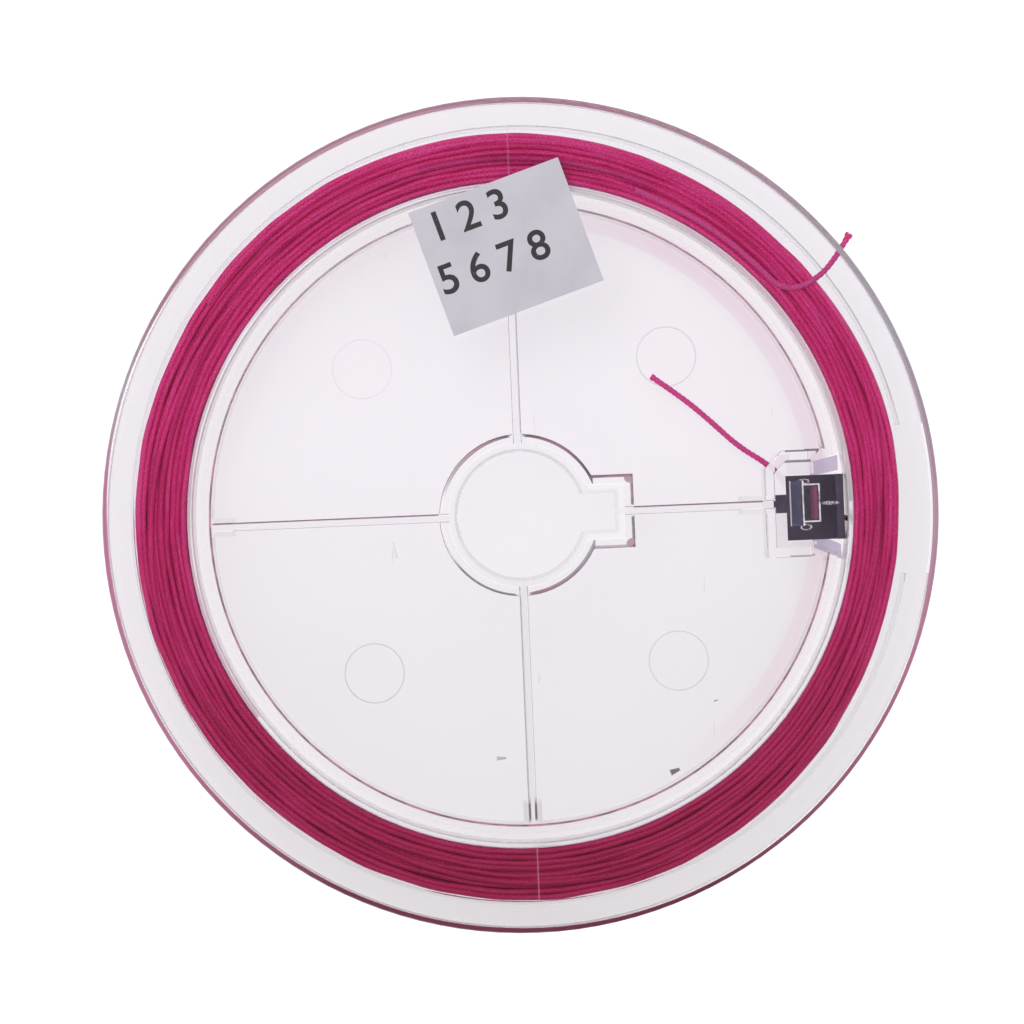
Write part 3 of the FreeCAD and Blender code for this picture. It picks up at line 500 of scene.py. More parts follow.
def clear_film(finish):
    """The thin clear band, whose upper edge shows a painted grey edge line on the north side."""
    material, graph = new_surface("band_film")
    where = graph.where()
    x, y, z = graph.parts(where)
    drawn = graph.noise(graph.stretched(where, (30, 30, 900)), 1.0, 2.0)
    film = graph.skin(
        Base_Color=finish.film, Roughness=0.0, IOR=1.12, Transmission_Weight=1.0,
        Normal=graph.bump(drawn, 0.1, 0.00002))
    edge = graph.skin(Base_Color=finish.edge_film, Roughness=0.4)
    radius = length_of(x, y)
    seen = z.step(0.01052, 0.01060) * radius.step(0.04650, 0.04656) * graph.dial(x, y, [
        (-180, 0.05), (-20, 0.0), (8, 0.0), (16, 0.6), (60, 0.6), (118, 0.4), (135, 0.15), (180, 0.05)])
    # The band's south end shows a thin painted grey hook, in place of the dark edge of a curled end
    end = radius.step(0.04658, 0.04662) * y.between(-0.0100, -0.0088) * z.step(0.0104, 0.0105)
    end = end + y.between(-0.00893, -0.00870) * z.step(0.0102, 0.0104)
    seen = seen.at_least((end * x.step(0.040, 0.041) * 0.7).at_most(0.7))
    lamps_through(graph, graph.mix_shader(seen, film, edge), finish)
    return material


def dark_plastic(finish):
    """Near-black blue moulded plastic with a fine sheen and cloudy rubbed patches, and pale painted
    highlights: a smear beside the latch and two glinting rings near the latch head's ends.
    """
    material, graph = new_surface("keeper_plastic")
    where = graph.where()
    x, y, _ = graph.parts(where)
    cloud = graph.noise(where, 260.0, 4.0, 0.6)
    grain = graph.noise(where, 5200.0, 2.0, 0.6)
    colour = graph.mix(cloud.step(0.55, 0.8) * 0.5, finish.keeper, finish.keeper_worn)
    # Pale painted highlights: a smear beside the latch and two glinting rings near the latch head's ends
    painted_glints = length_of((x - 0.0373) / 0.0009, (y + 0.0001) / 0.00024).step(1.2, 0.6)
    for left, low, wide, high in ((0.0343, 0.00262, 0.00070, 0.00028), (0.0344, -0.00290, 0.00068, 0.00036)):
        painted_glints = painted_glints + length_of((x - left) / wide, (y - low) / high).between(0.72, 1.05, 0.12) * 0.9
    colour = graph.mix((painted_glints * grain.step(0.36, 0.56)).at_most(0.85), colour, finish.edge_clear)
    finish_surface(graph, graph.skin(
        Base_Color=colour, Roughness=cloud * 0.2 + 0.22, Specular_IOR_Level=0.5,
        Normal=graph.bump(grain + cloud * 2.0, 0.25, 0.00003)))
    return material


def wound_tone(graph, where, crowns):
    """What the wound line's tone gains: weave that shows on some sides, drift along the turns, pale rims of
    painted highlight.
    """
    x, y, _ = graph.parts(where)
    radius = length_of(x, y)
    tone = (crowns - 0.4) * graph.dial(x, y, [
        (-180, 0.05), (-140, 0.2), (-60, 0.22), (-30, 0.05), (30, 0.05), (60, 0.2), (135, 0.2), (160, 0.1),
        (180, 0.05)])
    place = graph.vector(radius * 1500.0, graph.round_share(x, y) * 26.0)
    tone = tone + (graph.noise(place, 1.0, 2.0, 0.5) - 0.5) * 0.9
    edge = graph.dial(x, y, [((degrees + 180) % 360 - 180, reach / 50) for degrees, reach in WOUND_ORDER])
    # The turns at both edges are paler: painted highlight
    rim_highlight = (radius - edge * 0.05).step(-0.0015, -0.0002) + radius.step(0.0407, 0.0401)
    return tone + rim_highlight * 0.18 + 0.22, y.step(0.015, -0.05)


def braided_line(name, finish, shadow, wound=True):
    """Braided line: crossing picks and drawn fibres along its own length, with painted shade between the
    yarns, deepened by the shadow given, and crowns painted paler as highlight.
    Where it is wound, tones drift along the turns, the turns at both edges are paler with painted highlight,
    and the spool's south side is darker with painted shade."""
    material, graph = new_surface(name)
    along, around, _ = graph.parts(graph.out("ShaderNodeUVMap", {"uv_map": "UVMap"}))
    where = graph.where()
    picks = along / finish.pick_length + graph.noise(where, 900.0, 2.0, 0.6) * 2.4
    first, second = (picks + around * 4.0) * math.pi, (picks - around * 4.0) * math.pi
    crowns = abs(first.math("SINE")) * abs(second.math("SINE"))
    streaks = graph.noise(graph.vector(along * 1300.0, around * 9.0), 1.0, 3.0, 0.65)
    speckle = graph.noise(where, 3400.0, 2.0, 0.7)
    tone = crowns * 0.16 + streaks * 0.6 + (speckle - 0.5) * 0.5 - 0.12 - shadow
    if wound:
        gained, south = wound_tone(graph, where, crowns)
        tone = tone + gained
    else:
        tone = tone + 0.7
    # The tone runs from painted shade between the yarns to painted highlight on the crowns
    body = graph.ramp(tone, [(0.0, finish.line_deep), (0.45, finish.line), (1.0, finish.line_bright)])
    if wound:
        # Painted shade on the spool's south side
        body = graph.mix(south * finish.south_shade, body, finish.line_south, "MULTIPLY")
    finish_surface(graph, graph.skin(
        Base_Color=body, Roughness=streaks * 0.2 + 0.42, Specular_IOR_Level=0.25,
        Subsurface_Weight=0.3, Subsurface_Radius=(1.0, 0.25, 0.45), Subsurface_Scale=0.0005,
        Normal=graph.bump(crowns * 0.6 + streaks, 0.6, 0.00005)))
    return material


def label_paper(finish):
    """Uncoated label paper with a faint tooth and soft grey patches."""
    material, graph = new_surface("label_paper")
    where = graph.where()
    tooth = graph.noise(where, 3000.0, 4.0, 0.7)
    patches = graph.noise(where, 160.0, 3.0, 0.6)
    colour = graph.mix(patches.step(0.35, 0.75) * 0.5, finish.paper, finish.paper_shade)
    finish_surface(graph, graph.skin(
        Base_Color=graph.mix(tooth * 0.16, colour, (0.6, 0.58, 0.62), "MULTIPLY"),
        Roughness=tooth * 0.15 + 0.68, Specular_IOR_Level=0.3, Normal=graph.bump(tooth, 0.35, 0.00004)))
    return material


def printed_ink(finish):
    """Dry black print, a little broken where the paper's tooth shows."""
    material, graph = new_surface("label_ink")
    where = graph.where()
    broken = graph.noise(where, 2600.0, 3.0, 0.7).step(0.62, 0.74)
    finish_surface(graph, graph.skin(
        Base_Color=graph.mix(broken * 0.6, finish.ink, finish.paper_shade), Roughness=broken * 0.2 + 0.55))
    return material


def floor_surface(studio):
    """A pale floor that gives off light, with a painted shadow: a little less under the drum and in its bore.
    """
    material, graph = new_surface("studio_floor")
    where = graph.where()
    x, y, _ = graph.parts(where)
    grain = graph.noise(where, 3.0, 2.0, 0.5)
    radius = length_of(x, y)
    # Painted shadow: the floor gives off less light under the drum
    glow = graph.ramp(radius * 20.0, [
        (0.736, (0.84, 0.835, 0.845)), (0.752, (0.93, 0.93, 0.94)), (0.80, (0.93, 0.93, 0.94)), (0.87, 1.0)])
    # The painted shadow also covers the bore and its key slot
    key_slot = x.between(0.0, 0.0118, 0.0003) * y.between(-0.0026, 0.0026, 0.0003)
    glow = graph.mix(radius.step(0.0084, 0.0076).at_least(key_slot), glow, (0.735, 0.71, 0.75))
    finish_surface(graph, graph.skin(
        Base_Color=graph.ramp(grain, [(0.3, 0.20), (0.7, 0.22)]), Roughness=0.8,
        Emission_Color=glow, Emission_Strength=studio.floor_glow))
    return material


# Geometry nodes
def line_sweep_tree():
    """Sweeps a round section along every curve and keeps the braid's place as a UV map."""
    tree = bpy.data.node_groups.new("line_sweep", "GeometryNodeTree")
    for name, kind in (
            ("Geometry", "Geometry"), ("Line Width", "Float"), ("Sides", "Int"), ("Material", "Material")):
        tree.interface.new_socket(name, in_out="INPUT", socket_type="NodeSocket" + kind)
    tree.interface.new_socket("Geometry", in_out="OUTPUT", socket_type="NodeSocketGeometry")
    graph = Graph(tree)
    group = graph.node("NodeGroupInput")
    source, width, sides, material = (Wire(graph, group.outputs[k]) for k in range(4))

    def store(geometry, name, value, kind="FLOAT", domain="POINT"):
        settings = {"data_type": kind, "domain": domain}
        inputs = {"Geometry": geometry, "Name": name, "Value": value}
        return graph.out("GeometryNodeStoreNamedAttribute", settings, inputs)

    def stored(name):
        return graph.out("GeometryNodeInputNamedAttribute", {"data_type": "FLOAT"}, {"Name": name})

    marked = store(source, "along", graph.out("GeometryNodeSplineParameter", output=1))
    circle = graph.out(
        "GeometryNodeCurvePrimitiveCircle", {"mode": "RADIUS"}, {"Resolution": sides, "Radius": width * 0.5})
    section = store(circle, "around", graph.out("GeometryNodeInputIndex") / sides)
    swept = graph.out(
        "GeometryNodeCurveToMesh", {}, {"Curve": marked, "Profile Curve": section, "Fill Caps": True})

    # On the face that closes the section, the low side counts as a whole turn
    around = stored("around")
    mean = graph.out("GeometryNodeFieldOnDomain", {"domain": "FACE"}, {0: around})
    closing = (mean - around).math("GREATER_THAN", 1.2 / sides)
    mapped = store(swept, "UVMap", graph.vector(stored("along"), around + closing), "FLOAT2", "CORNER")
    smooth = graph.out("GeometryNodeSetShadeSmooth", {}, {"Geometry": mapped})
    real = graph.out("GeometryNodeRealizeInstances", {}, {"Geometry": smooth})
    painted = graph.out("GeometryNodeSetMaterial", {}, {"Geometry": real, "Material": material})
    graph.node("NodeGroupOutput", {}, {0: painted})
    return tree


def run_tree(source, tree, name, **values):
    """The mesh that a tree makes of an object, as a new object. The source is removed."""
    modifier = source.modifiers.new("build", "NODES")
    modifier.node_group = tree
    sockets = {item.name: item.identifier for item in tree.interface.items_tree if item.in_out == "INPUT"}
    for label, value in values.items():
        modifier[sockets[label.replace("_", " ")]] = value
    bpy.context.view_layer.update()
    made = source.evaluated_get(bpy.context.evaluated_depsgraph_get())
    mesh = bpy.data.meshes.new_from_object(made)
    source.modifiers.remove(modifier)
    bpy.data.objects.remove(source)
    return link(name, mesh)


def link(name, data):
    data.name = name
    piece = bpy.data.objects.new(name, data)
    bpy.context.scene.collection.objects.link(piece)
    return piece


def mesh_piece(name, points, faces, material):
    """A new object with one mesh and one material."""
    mesh = bpy.data.meshes.new(name)
    mesh.from_pydata(points, [], faces)
    mesh.materials.append(material)
    return link(name, mesh)


def sweep(name, strands, width, sides, material):
    """One piece of line for a list of (points, widths), widths as a share of the line's own."""
    curve = bpy.data.curves.new(name + "_route", "CURVE")
    curve.dimensions = "3D"
    for points, widths in strands:
        spline = curve.splines.new("POLY")
        spline.points.add(len(points) - 1)
        spline.points.foreach_set("co", np.c_[points, np.ones(len(points))].ravel())
        spline.points.foreach_set("radius", np.broadcast_to(widths, len(points)).astype(float))
    tree = bpy.data.node_groups.get("line_sweep") or line_sweep_tree()
    route = link(name + "_route", curve)
    return run_tree(route, tree, name, Line_Width=width, Sides=sides, Material=material)


# The wound line
def waves(angle, rng, size, orders):
    """Slow and quick waves along an angle in radians, at most about size high."""
    total = np.zeros_like(angle)
    for order in orders:
        total += rng.uniform(0.5, 1.0) * np.sin(order * angle + rng.uniform(0, FULL_TURN))
    return size * total / math.sqrt(len(orders))


def wound_edge(angle):
    """The outer radius of the wound line at angles in radians, in metres."""
    places, radii = np.array(WOUND_EDGE).T
    fine = np.arange(0, 360, 1.0)
    rough = np.interp(fine, places, radii, period=360)
    spread = np.exp(-0.5 * (np.arange(-20, 21) / 7.0) ** 2)
    smooth = np.convolve(np.r_[rough[-20:], rough, rough[:20]], spread / spread.sum(), "valid")
    return np.interp(np.degrees(angle) % 360, fine, smooth, period=360) * 0.001


def on_ring(angle, radius, level):
    return np.c_[radius * np.cos(angle), radius * np.sin(angle), np.broadcast_to(level, len(angle))]


def turn_points(line, begin, end):
    """Angles along one turn, how far along it each lies as 0 to 1, and the room from the drum outwards."""
    angle = np.arange(begin, end, line.step)
    share = (angle - angle[0]) / (angle[-1] - angle[0])
    return angle, share, DRUM_RADIUS + line.width * 0.55, wound_edge(angle) - line.width * 0.52


def side_strands(line, rng, level, inward):
    """The turns that show against a flange: one for each layer, which rises from the next layer's side,
    keeps to the flange for most of a turn and dips again, and a few that cross over them."""
    strands = []
    gaps = line.layers - 1
    for layer in range(line.layers):
        begin = rng.uniform(0, FULL_TURN)
        angle, share, inner, outer = turn_points(line, begin, begin + FULL_TURN + 0.5)
        climb = (layer + 0.35 * (share - 0.5)) / gaps
        radius = inner + (outer - inner) * np.clip(climb, 0, 1)
        radius += waves(angle, rng, 0.00009, (5, 9, 14, 23, 37))
        dip = np.clip(np.maximum(0.07 - share, share - 0.93) / 0.07, 0, 1) ** 1.5
        height = level + inward * (0.0015 * dip + 0.00012 * rng.uniform(0, 1))
        height = height + waves(angle, rng, 0.00007, (4, 7, 13, 19))
        # The turns are pressed against each other: as wide as the room they have, and flat on two sides
        room = (outer - inner) / gaps / line.width
        flat = sum(size * np.exp(-((angle % FULL_TURN - math.radians(middle)) / reach) ** 2)
                   for size, middle, reach in ((0.62, 128, 0.9), (0.32, 272, 0.7)))
        height = height + inward * 0.5 * flat * room * line.width
        widths = room * (1.1 + flat) + waves(angle, rng, 0.02, (3, 5, 8))
        strands.append((on_ring(angle, radius, height), widths))
    for _ in range(line.crossings):
        begin = rng.uniform(0, FULL_TURN)
        angle, share, inner, outer = turn_points(line, begin, begin + rng.uniform(0.9, 2.4))
        low, high = rng.uniform(0.05, 0.6), rng.uniform(0.4, 0.98)
        radius = inner + (outer - inner) * (low + (high - low) * share)
        radius += waves(angle, rng, 0.00005, (6, 11, 17))
        rise = np.clip(np.minimum(share, 1 - share) / 0.15, 0, 1)
        height = level - inward * 0.0003 * rise + inward * 0.0006 * (1 - rise)
        strands.append((on_ring(angle, radius, height), rng.uniform(0.8, 0.95)))
    return strands


def drum_strands(rng, radius_at, low, high, turns, step):
    """One layer of turns side by side, as a spiral from one flange to the other."""
    angle = np.arange(0, FULL_TURN * turns, step)
    share = angle / angle[-1]
    settle = waves(angle, rng, 0.00008, (3, 7.3, 13.7, 22.1))
    radius = radius_at(angle) + waves(angle, rng, 0.00006, (2.3, 5.1, 9.7, 17.3))
    # The layer falls back a little beside each flange
    radius -= 0.0005 * np.clip((np.abs(share - 0.5) - 0.42) / 0.08, 0, 1) ** 2
    return [(on_ring(angle, radius, low + (high - low) * share + settle), rng.uniform(0.96, 1.02))]


def squared(wave, square=5.0):
    """A sine or cosine pushed outwards, so that the section it draws has nearly flat sides."""
    return np.sign(wave) * np.abs(wave) ** (2 / square)


def wound_bed(line, material):
    """The layers below the visible turns: a closed ring whose skin is ribbed like the turns on it."""
    around, section, ribs_round = 540, 64, 26
    angle = np.linspace(0, FULL_TURN, around, endpoint=False)[:, None]
    turn = np.linspace(0, FULL_TURN, section, endpoint=False)[None, :]
    outer, inner = wound_edge(angle) - line.width * 1.05, DRUM_RADIUS + line.width * 0.95
    half_z = (WOUND_HIGH - WOUND_LOW) / 2 - line.width * 0.82
    ribs = 0.00009 * np.sin(turn * ribs_round + 3 * angle)
    radius = (outer + inner) / 2 + ((outer - inner) / 2 + ribs) * squared(np.cos(turn))
    level = (WOUND_LOW + WOUND_HIGH) / 2 + (half_z + ribs) * squared(np.sin(turn))
    points = np.stack([radius * np.cos(angle), radius * np.sin(angle), level], -1)
    here = np.arange(around * section).reshape(around, section)
    ahead = np.roll(here, -1, 0)
    faces = np.stack([here, ahead, np.roll(ahead, -1, 1), np.roll(here, -1, 1)], -1)
    piece = mesh_piece("wound_bed", points.reshape(-1, 3).tolist(), faces.reshape(-1, 4).tolist(), material)

    # The braid runs along the turns: length along the ring, one line's width for each rib
    place = np.zeros((around, section, 4, 2))
    for corner, (step, side) in enumerate(((0, 0), (1, 0), (1, 1), (0, 1))):
        place[:, :, corner, 0] = (np.arange(around) + step)[:, None] * FULL_TURN / around * 0.043
        place[:, :, corner, 1] = (np.arange(section) + side)[None, :] * ribs_round / section
    mesh = piece.data
    mesh.uv_layers.new(name="UVMap")
    mesh.uv_layers["UVMap"].data.foreach_set("uv", place.ravel())
    mesh.shade_smooth()
    mesh.update()
    return piece


# The line's free ends
def smooth_route(name, route, level):
    """The points of the smooth curve that a line end follows, in metres."""
    curve = bpy.data.curves.new(name + "_route", "CURVE")
    curve.dimensions = "3D"
    curve.resolution_u = 24
    spline = curve.splines.new("NURBS")
    spline.points.add(len(route) - 1)
    for point, (x, y) in zip(spline.points, route):
        point.co = (x * 0.001, y * 0.001, level * 0.001, 1.0)
    spline.order_u = 3
    spline.use_endpoint_u = True
    holder = link(name + "_route", curve)
    bpy.context.view_layer.update()
    mesh = bpy.data.meshes.new_from_object(holder)
    points = np.array([v.co for v in mesh.vertices])
    bpy.data.objects.remove(holder)
    bpy.data.meshes.remove(mesh)
    return points


def even_steps(points, step):
    """The same route with points a step apart, and how far along it each lies."""
    runs = np.linalg.norm(np.diff(points, axis=0), axis=1)
    reach = np.r_[0, np.cumsum(runs)]
    places = np.linspace(0, reach[-1], max(2, round(reach[-1] / step)))
    return np.stack([np.interp(places, reach, points[:, k]) for k in range(3)], -1), places


def braided_end(name, route, level, line, material, frayed):
    """A line end as eight yarns braided over and under each other, opened up towards a cut tip."""
    points, reach = even_steps(smooth_route(name, route, level), line.width * 0.16)
    ahead = np.gradient(points, axis=0)
    ahead /= np.linalg.norm(ahead, axis=1)[:, None]
    up = np.array([0.0, 0.0, 1.0])
    side = np.cross(up, ahead)
    carriers, pitch, open_length = 4, line.width * 3.4, 0.0016
    opened = 1 + frayed * np.clip((reach - (reach[-1] - open_length)) / open_length, 0, 1) ** 2
    strands = []
    for hand, phase in ((1, 0.0), (-1, math.pi)):
        for carrier in range(carriers):
            turn = hand * FULL_TURN * (reach / pitch + carrier / carriers)
            away = line.width * (0.285 + 0.035 * np.cos(carriers * turn + phase))
            off = np.cos(turn)[:, None] * side * opened[:, None] + np.sin(turn)[:, None] * up
            strands.append((points + off * away[:, None], 1.0))
    core = [(points, 1.15)]
    return sweep(name, strands + core, line.width * 0.36, 6, material), points


# Numbers on the label
def label_numbers(material):
    """Plain numbers printed on the label in two rows, as one flat mesh."""
    cos, sin = math.cos(LABEL_TURN), math.sin(LABEL_TURN)
    points, faces = [], []
    for row, across, up in LABEL_ROWS:
        text = bpy.data.curves.new("row", "FONT")
        text.body, text.size = row, NUMBER_SIZE
        text.offset, text.space_character = NUMBER_WEIGHT, NUMBER_SPACING
        holder = link("row", text)
        bpy.context.view_layer.update()
        mesh = bpy.data.meshes.new_from_object(holder)
        faces += [[len(points) + k for k in face.vertices] for face in mesh.polygons]
        for vertex in mesh.vertices:
            u, v = vertex.co.x + across, vertex.co.y + up
            points.append((LABEL_PLACE[0] + u * cos - v * sin, LABEL_PLACE[1] + u * sin + v * cos,
                           LABEL_TOP + PRINT_LIFT))
        bpy.data.objects.remove(holder)
    return mesh_piece("label_numbers", points, faces, material)


# Settings
def colour_of(name, coloured, default):
    """A colour setting and what it colours."""
    return bpy.props.FloatVectorProperty(
        name=name, description="Colour of " + coloured, default=default, subtype="COLOR")


class StudioSettings(bpy.types.PropertyGroup):
    camera_height: bpy.props.FloatProperty(
        name="Camera height", description="Height of the camera over the floor", default=1.07, unit="LENGTH")
    object_turn: bpy.props.FloatProperty(
        name="Object turn", description="How far the spool is turned in the picture",
        default=math.radians(2.4), subtype="ANGLE")
    floor_glow: bpy.props.FloatProperty(
        name="Floor glow", description="Light that the floor gives off, as a light table does", default=0.93)
    sky: bpy.props.FloatProperty(
        name="Room light", description="Brightness of the soft light from above", default=0.62)


class PlasticSettings(bpy.types.PropertyGroup):
    tint: colour_of("Clear tint", "the clear plastic", (0.965, 0.965, 0.975))
    web_tint: colour_of("Web tint", "the web inside the drum", (0.99, 0.948, 0.992))
    # Painted shade on the web's south half
    web_south: colour_of("Web tint, south", "the web's shaded half", (0.925, 0.90, 0.92))
    gap_tint: colour_of("Gap tint", "the plastic over the gap inside the drum wall", (1.0, 0.99, 1.0))
    # Painted shade in the pocket's mouth
    edge_lavender: colour_of("Pocket shade", "the web in the pocket's mouth", linear(190, 178, 202))
    # Painted reflection of the line on the web
    pink_tint: colour_of("Pink tint", "the web where it mirrors the line", (0.90, 0.72, 0.82))
    front_tint: colour_of("Front tint", "the front flange", (0.91, 0.905, 0.93))
    # Painted shade on the front flange's south side
    south_tint: colour_of("South tint", "the front flange in its own shade", (0.82, 0.80, 0.815))
    passed: colour_of("Light passed", "the light that gets through", (0.97, 0.965, 0.975))
    film: colour_of("Film tint", "the clear band", (0.93, 0.93, 0.95))
    # The edge colours below are painted reflections of the line and room, painted shade and painted
    # highlights on the clear edges; grey and the darkest colour also colour real scratches and flecks
    edge_film: colour_of("Band edge", "the clear band's upper edge", linear(160, 166, 166))
    edge_mauve: colour_of("Edge, mauve", "most edges", linear(162, 117, 137))
    edge_rose: colour_of("Edge, rose", "the rim beside the line", linear(186, 118, 150))
    edge_dark: colour_of("Edge, dark", "the rim on its dark side", linear(112, 40, 66))
    edge_brown: colour_of("Edge, brown", "the drum's inner edge", linear(122, 78, 96))
    edge_grey: colour_of("Edge, grey", "faint edges", linear(168, 162, 172))
    # The darkest painted edge shade, also the colour of dark flecks
    edge_shade_and_fleck: colour_of("Edge, soot", "the darkest edges", linear(96, 88, 98))
    edge_clear: colour_of("Edge, clear", "the ribs between their edges", linear(240, 236, 242))
    edge_slate: colour_of("Edge, slate", "the latch over the keeper", linear(84, 80, 106))
    # Painted reflection of the line in the latch's hollow
    edge_line_reflection: colour_of("Edge, glow", "the line's glow in the latch", linear(158, 72, 112))
    edge_pale: colour_of("Edge, pale", "bright edges", linear(250, 247, 252))
    # Colour of the faint pale pink hairlines beside the north and south ribs
    edge_hairline: colour_of("Weld line", "the faint weld lines", linear(226, 150, 186))
    roughness: bpy.props.FloatProperty(
        name="Polish", description="Roughness of the clear plastic", default=0.0)
    ior: bpy.props.FloatProperty(
        name="Refraction", description="Index of refraction of the clear plastic", default=1.5)
    keeper: colour_of("Keeper", "the dark line keeper", linear(61, 50, 69))
    keeper_worn: colour_of("Keeper, rubbed", "the keeper where it is rubbed", linear(84, 80, 104))


class LineSettings(bpy.types.PropertyGroup):
    width: bpy.props.FloatProperty(
        name="Line width", description="Width of the braided line", default=0.00075, unit="LENGTH",
        precision=5)
    layers: bpy.props.IntProperty(
        name="Layers", description="Turns that show against each flange", default=9)
    crossings: bpy.props.IntProperty(
        name="Crossings", description="Turns that cross over the others on each side", default=8)
    step: bpy.props.FloatProperty(
        name="Step", description="Turn between two points of a strand", default=0.013, subtype="ANGLE")
    pick_length: bpy.props.FloatProperty(
        name="Pick", description="Length of one pick of the braid", default=0.00056, unit="LENGTH",
        precision=5)
    seed: bpy.props.IntProperty(name="Seed", description="Changes how the turns lie", default=7)
    line: colour_of("Line", "the line", linear(206, 20, 110))
    # The deep colour is painted shade between the yarns, the bright one painted highlight on the crowns
    line_deep: colour_of("Line, deep", "the line between its yarns", linear(152, 4, 62))
    line_bright: colour_of("Line, bright", "the crowns", linear(230, 80, 152))
    # Painted shade on the spool's south side, laid over the line
    line_south: colour_of("Line, shaded", "the line's shaded side, laid over it", (0.60, 0.15, 0.38))
    south_shade: bpy.props.FloatProperty(
        name="Shade", description="How strongly the shaded side darkens", default=0.85, subtype="FACTOR")


class LabelSettings(bpy.types.PropertyGroup):
    paper: colour_of("Paper", "the label", linear(206, 202, 211))
    paper_shade: colour_of("Paper, shaded", "the paper's darker patches", linear(190, 186, 198))
    ink: colour_of("Ink", "the print", linear(26, 22, 32))


# Operators
def dress(name, material):
    """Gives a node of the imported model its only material."""
    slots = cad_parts[name].data.materials
    slots.clear()
    slots.append(material)


class LINESPOOL_OT_stage(bpy.types.Operator):
    """Add the camera over the spool, the floor and the light"""
    bl_idname = "line_spool.stage"
    bl_label = "Stage"

    def execute(self, context):
        studio = context.scene.line_spool_studio
        # The lens shows the near face as large as the photograph does, and the camera stands as far beside
        # the axis as the spool's centre lies beside the middle of the photograph
        near = studio.camera_height - FRONT_FACE
        seen = PHOTO_PIXELS / PIXELS_PER_MM * 0.001
        lens = bpy.data.cameras.new("camera")
        lens.sensor_width = 36.0
        lens.lens = lens.sensor_width * near / seen
        camera = link("camera", lens)
        aim = Vector((PHOTO_PIXELS / 2 - SPOOL_PIXEL[0], SPOOL_PIXEL[1] - PHOTO_PIXELS / 2, 0.0))
        turn = Matrix.Rotation(-studio.object_turn, 4, "Z")
        place = turn @ (aim / PIXELS_PER_MM * 0.001)
        camera.matrix_world = Matrix.Translation((place.x, place.y, studio.camera_height)) @ turn
        context.scene.camera = camera

        half, level = 1.5, -0.0005
        corners = [(-half, -half, level), (half, -half, level), (half, half, level), (-half, half, level)]
        mesh_piece("floor", corners, [(0, 1, 2, 3)], floor_surface(studio))

        world = bpy.data.worlds.new("studio")
        world.use_nodes = True
        world.node_tree.nodes.clear()
        graph = Graph(world.node_tree)
        up = graph.parts(graph.out("ShaderNodeTexCoord", output=0))[2]
        sky = graph.ramp(up, [
            (0.0, (0.10, 0.10, 0.11)), (0.15, (0.16, 0.16, 0.17)), (0.35, 1.0), (0.975, 1.0), (0.99, 0.2)])
        back = graph.out("ShaderNodeBackground", {}, {"Color": sky, "Strength": studio.sky})
        graph.node("ShaderNodeOutputWorld", {}, {"Surface": back})
        context.scene.world = world
        context.scene.view_settings.view_transform = "Standard"

        for name, place, size, power in (
                ("key_light", Vector((-0.13, 0.19, 0.50)), 0.26, 1.1),
                ("fill_light", Vector((0.30, 0.05, 0.62)), 0.35, 0.48)):
            lamp = bpy.data.lights.new(name, "AREA")
            lamp.size, lamp.energy = size, power
            facing = (-place).to_track_quat("-Z", "Y").to_matrix().to_4x4()
            link(name, lamp).matrix_world = Matrix.Translation(place) @ facing
        return {"FINISHED"}


class LINESPOOL_OT_mouldings(bpy.types.Operator):
    """Give the clear halves, the latch, the dark keeper and the band their plastics"""
    bl_idname = "line_spool.mouldings"
    bl_label = "Mouldings"

    def execute(self, context):
        finish = context.scene.line_spool_plastic
        skins = {
            "rear_half": clear_plastic("rear_clear", finish, 0.0, rear_marks, rear_tint),
            "front_half": clear_plastic("front_clear", finish, 0.3, front_marks, front_tint),
            "latch_tongue": clear_plastic("latch_clear", finish, 0.7, latch_marks),
            "line_keeper": dark_plastic(finish),
            "retaining_band": clear_film(finish),
        }
        for name, material in skins.items():
            dress(name, material)
        return {"FINISHED"}


class LINESPOOL_OT_line_ends(bpy.types.Operator):
    """Braid both free ends of the line"""
    bl_idname = "line_spool.line_ends"
    bl_label = "Line ends"

    def execute(self, context):
        line = context.scene.line_spool_line
        material = braided_line("line_end_braid", line, 0.0, False)
        for name, node, route, level, length, frayed in (
                ("line_inner_end", "inner_tail", INNER_END, INNER_LEVEL, INNER_LENGTH, 0.25),
                ("line_outer_end", "outer_tail", OUTER_END, OUTER_LEVEL, OUTER_LENGTH, 0.8)):
            piece, points = braided_end(name, route, level, line, material, frayed)
            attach(piece, "rear")
            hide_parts(node)
        return {"FINISHED"}


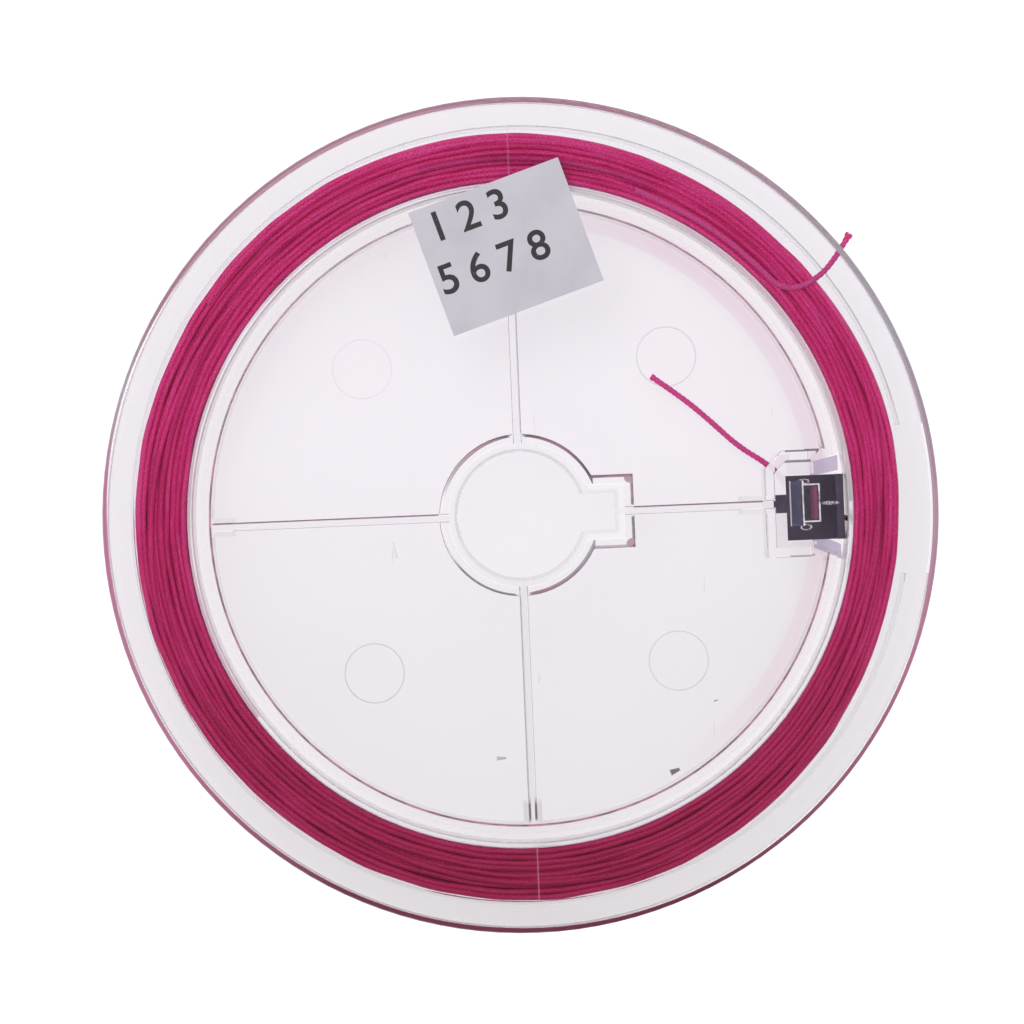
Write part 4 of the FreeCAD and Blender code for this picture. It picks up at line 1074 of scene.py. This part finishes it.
class LINESPOOL_OT_wound_line(bpy.types.Operator):
    """Wind the line on the drum"""
    bl_idname = "line_spool.wound_line"
    bl_label = "Wound line"

    def execute(self, context):
        line = context.scene.line_spool_line
        width = line.width
        rng = np.random.default_rng(line.seed)
        turns = braided_line("line_braid", line, 0.0)
        # The bed under the visible turns is darkened with painted shade
        deep = braided_line("line_braid_deep", line, 0.12)
        front, rear = WOUND_HIGH - width * 0.55, WOUND_LOW + width * 0.5
        low, high = WOUND_LOW + width * 0.55, WOUND_HIGH - width * 0.6
        pieces = [
            sweep("wound_front", side_strands(line, rng, front, -1), width, 8, turns),
            sweep("wound_rear", side_strands(line, rng, rear, 1), width, 7, turns),
            sweep("wound_outer", drum_strands(
                rng, lambda angle: wound_edge(angle) - width * 0.52, low, high, 13.4, line.step),
                width, 8, turns),
            sweep("wound_inner", drum_strands(
                rng, lambda angle: DRUM_RADIUS + width * 0.6, low, high - 2 * width, 11.6, line.step * 1.5),
                width, 7, turns),
        ]
        bed = wound_bed(line, deep)
        for piece in pieces + [bed]:
            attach(piece, "rear")
        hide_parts("line_turns")
        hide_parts("line_core")
        return {"FINISHED"}


class LINESPOOL_OT_label(bpy.types.Operator):
    """Lay the paper label on the front flange and print its numbers"""
    bl_idname = "line_spool.label"
    bl_label = "Label"

    def execute(self, context):
        finish = context.scene.line_spool_label
        dress("paper_label", label_paper(finish))
        numbers = label_numbers(printed_ink(finish))
        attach(numbers, "front")
        return {"FINISHED"}


class LINESPOOL_PT_panel(bpy.types.Panel):
    """Lists the spool's operators"""
    bl_idname = "LINESPOOL_PT_panel"
    bl_label = "Line Spool"
    bl_space_type = "VIEW_3D"
    bl_region_type = "UI"
    bl_category = "Line Spool"

    def draw(self, context):
        for operator in OPERATORS:
            self.layout.operator(operator.bl_idname)


OPERATORS = (LINESPOOL_OT_stage, LINESPOOL_OT_line_ends, LINESPOOL_OT_mouldings, LINESPOOL_OT_wound_line,
             LINESPOOL_OT_label)
SETTINGS = {"line_spool_studio": StudioSettings, "line_spool_plastic": PlasticSettings,
            "line_spool_line": LineSettings, "line_spool_label": LabelSettings}


def register():
    for group in (*SETTINGS.values(), *OPERATORS, LINESPOOL_PT_panel):
        bpy.utils.register_class(group)
    for name, group in SETTINGS.items():
        setattr(bpy.types.Scene, name, bpy.props.PointerProperty(type=group))


def unregister():
    for name in SETTINGS:
        delattr(bpy.types.Scene, name)
    for group in (LINESPOOL_PT_panel, *reversed(OPERATORS), *reversed(list(SETTINGS.values()))):
        bpy.utils.unregister_class(group)


def main():
    register()
    bpy.ops.line_spool.stage()
    bpy.ops.line_spool.line_ends()
    bpy.ops.line_spool.mouldings()
    bpy.ops.line_spool.wound_line()
    bpy.ops.line_spool.label()


if __name__ == "__main__":
    main()
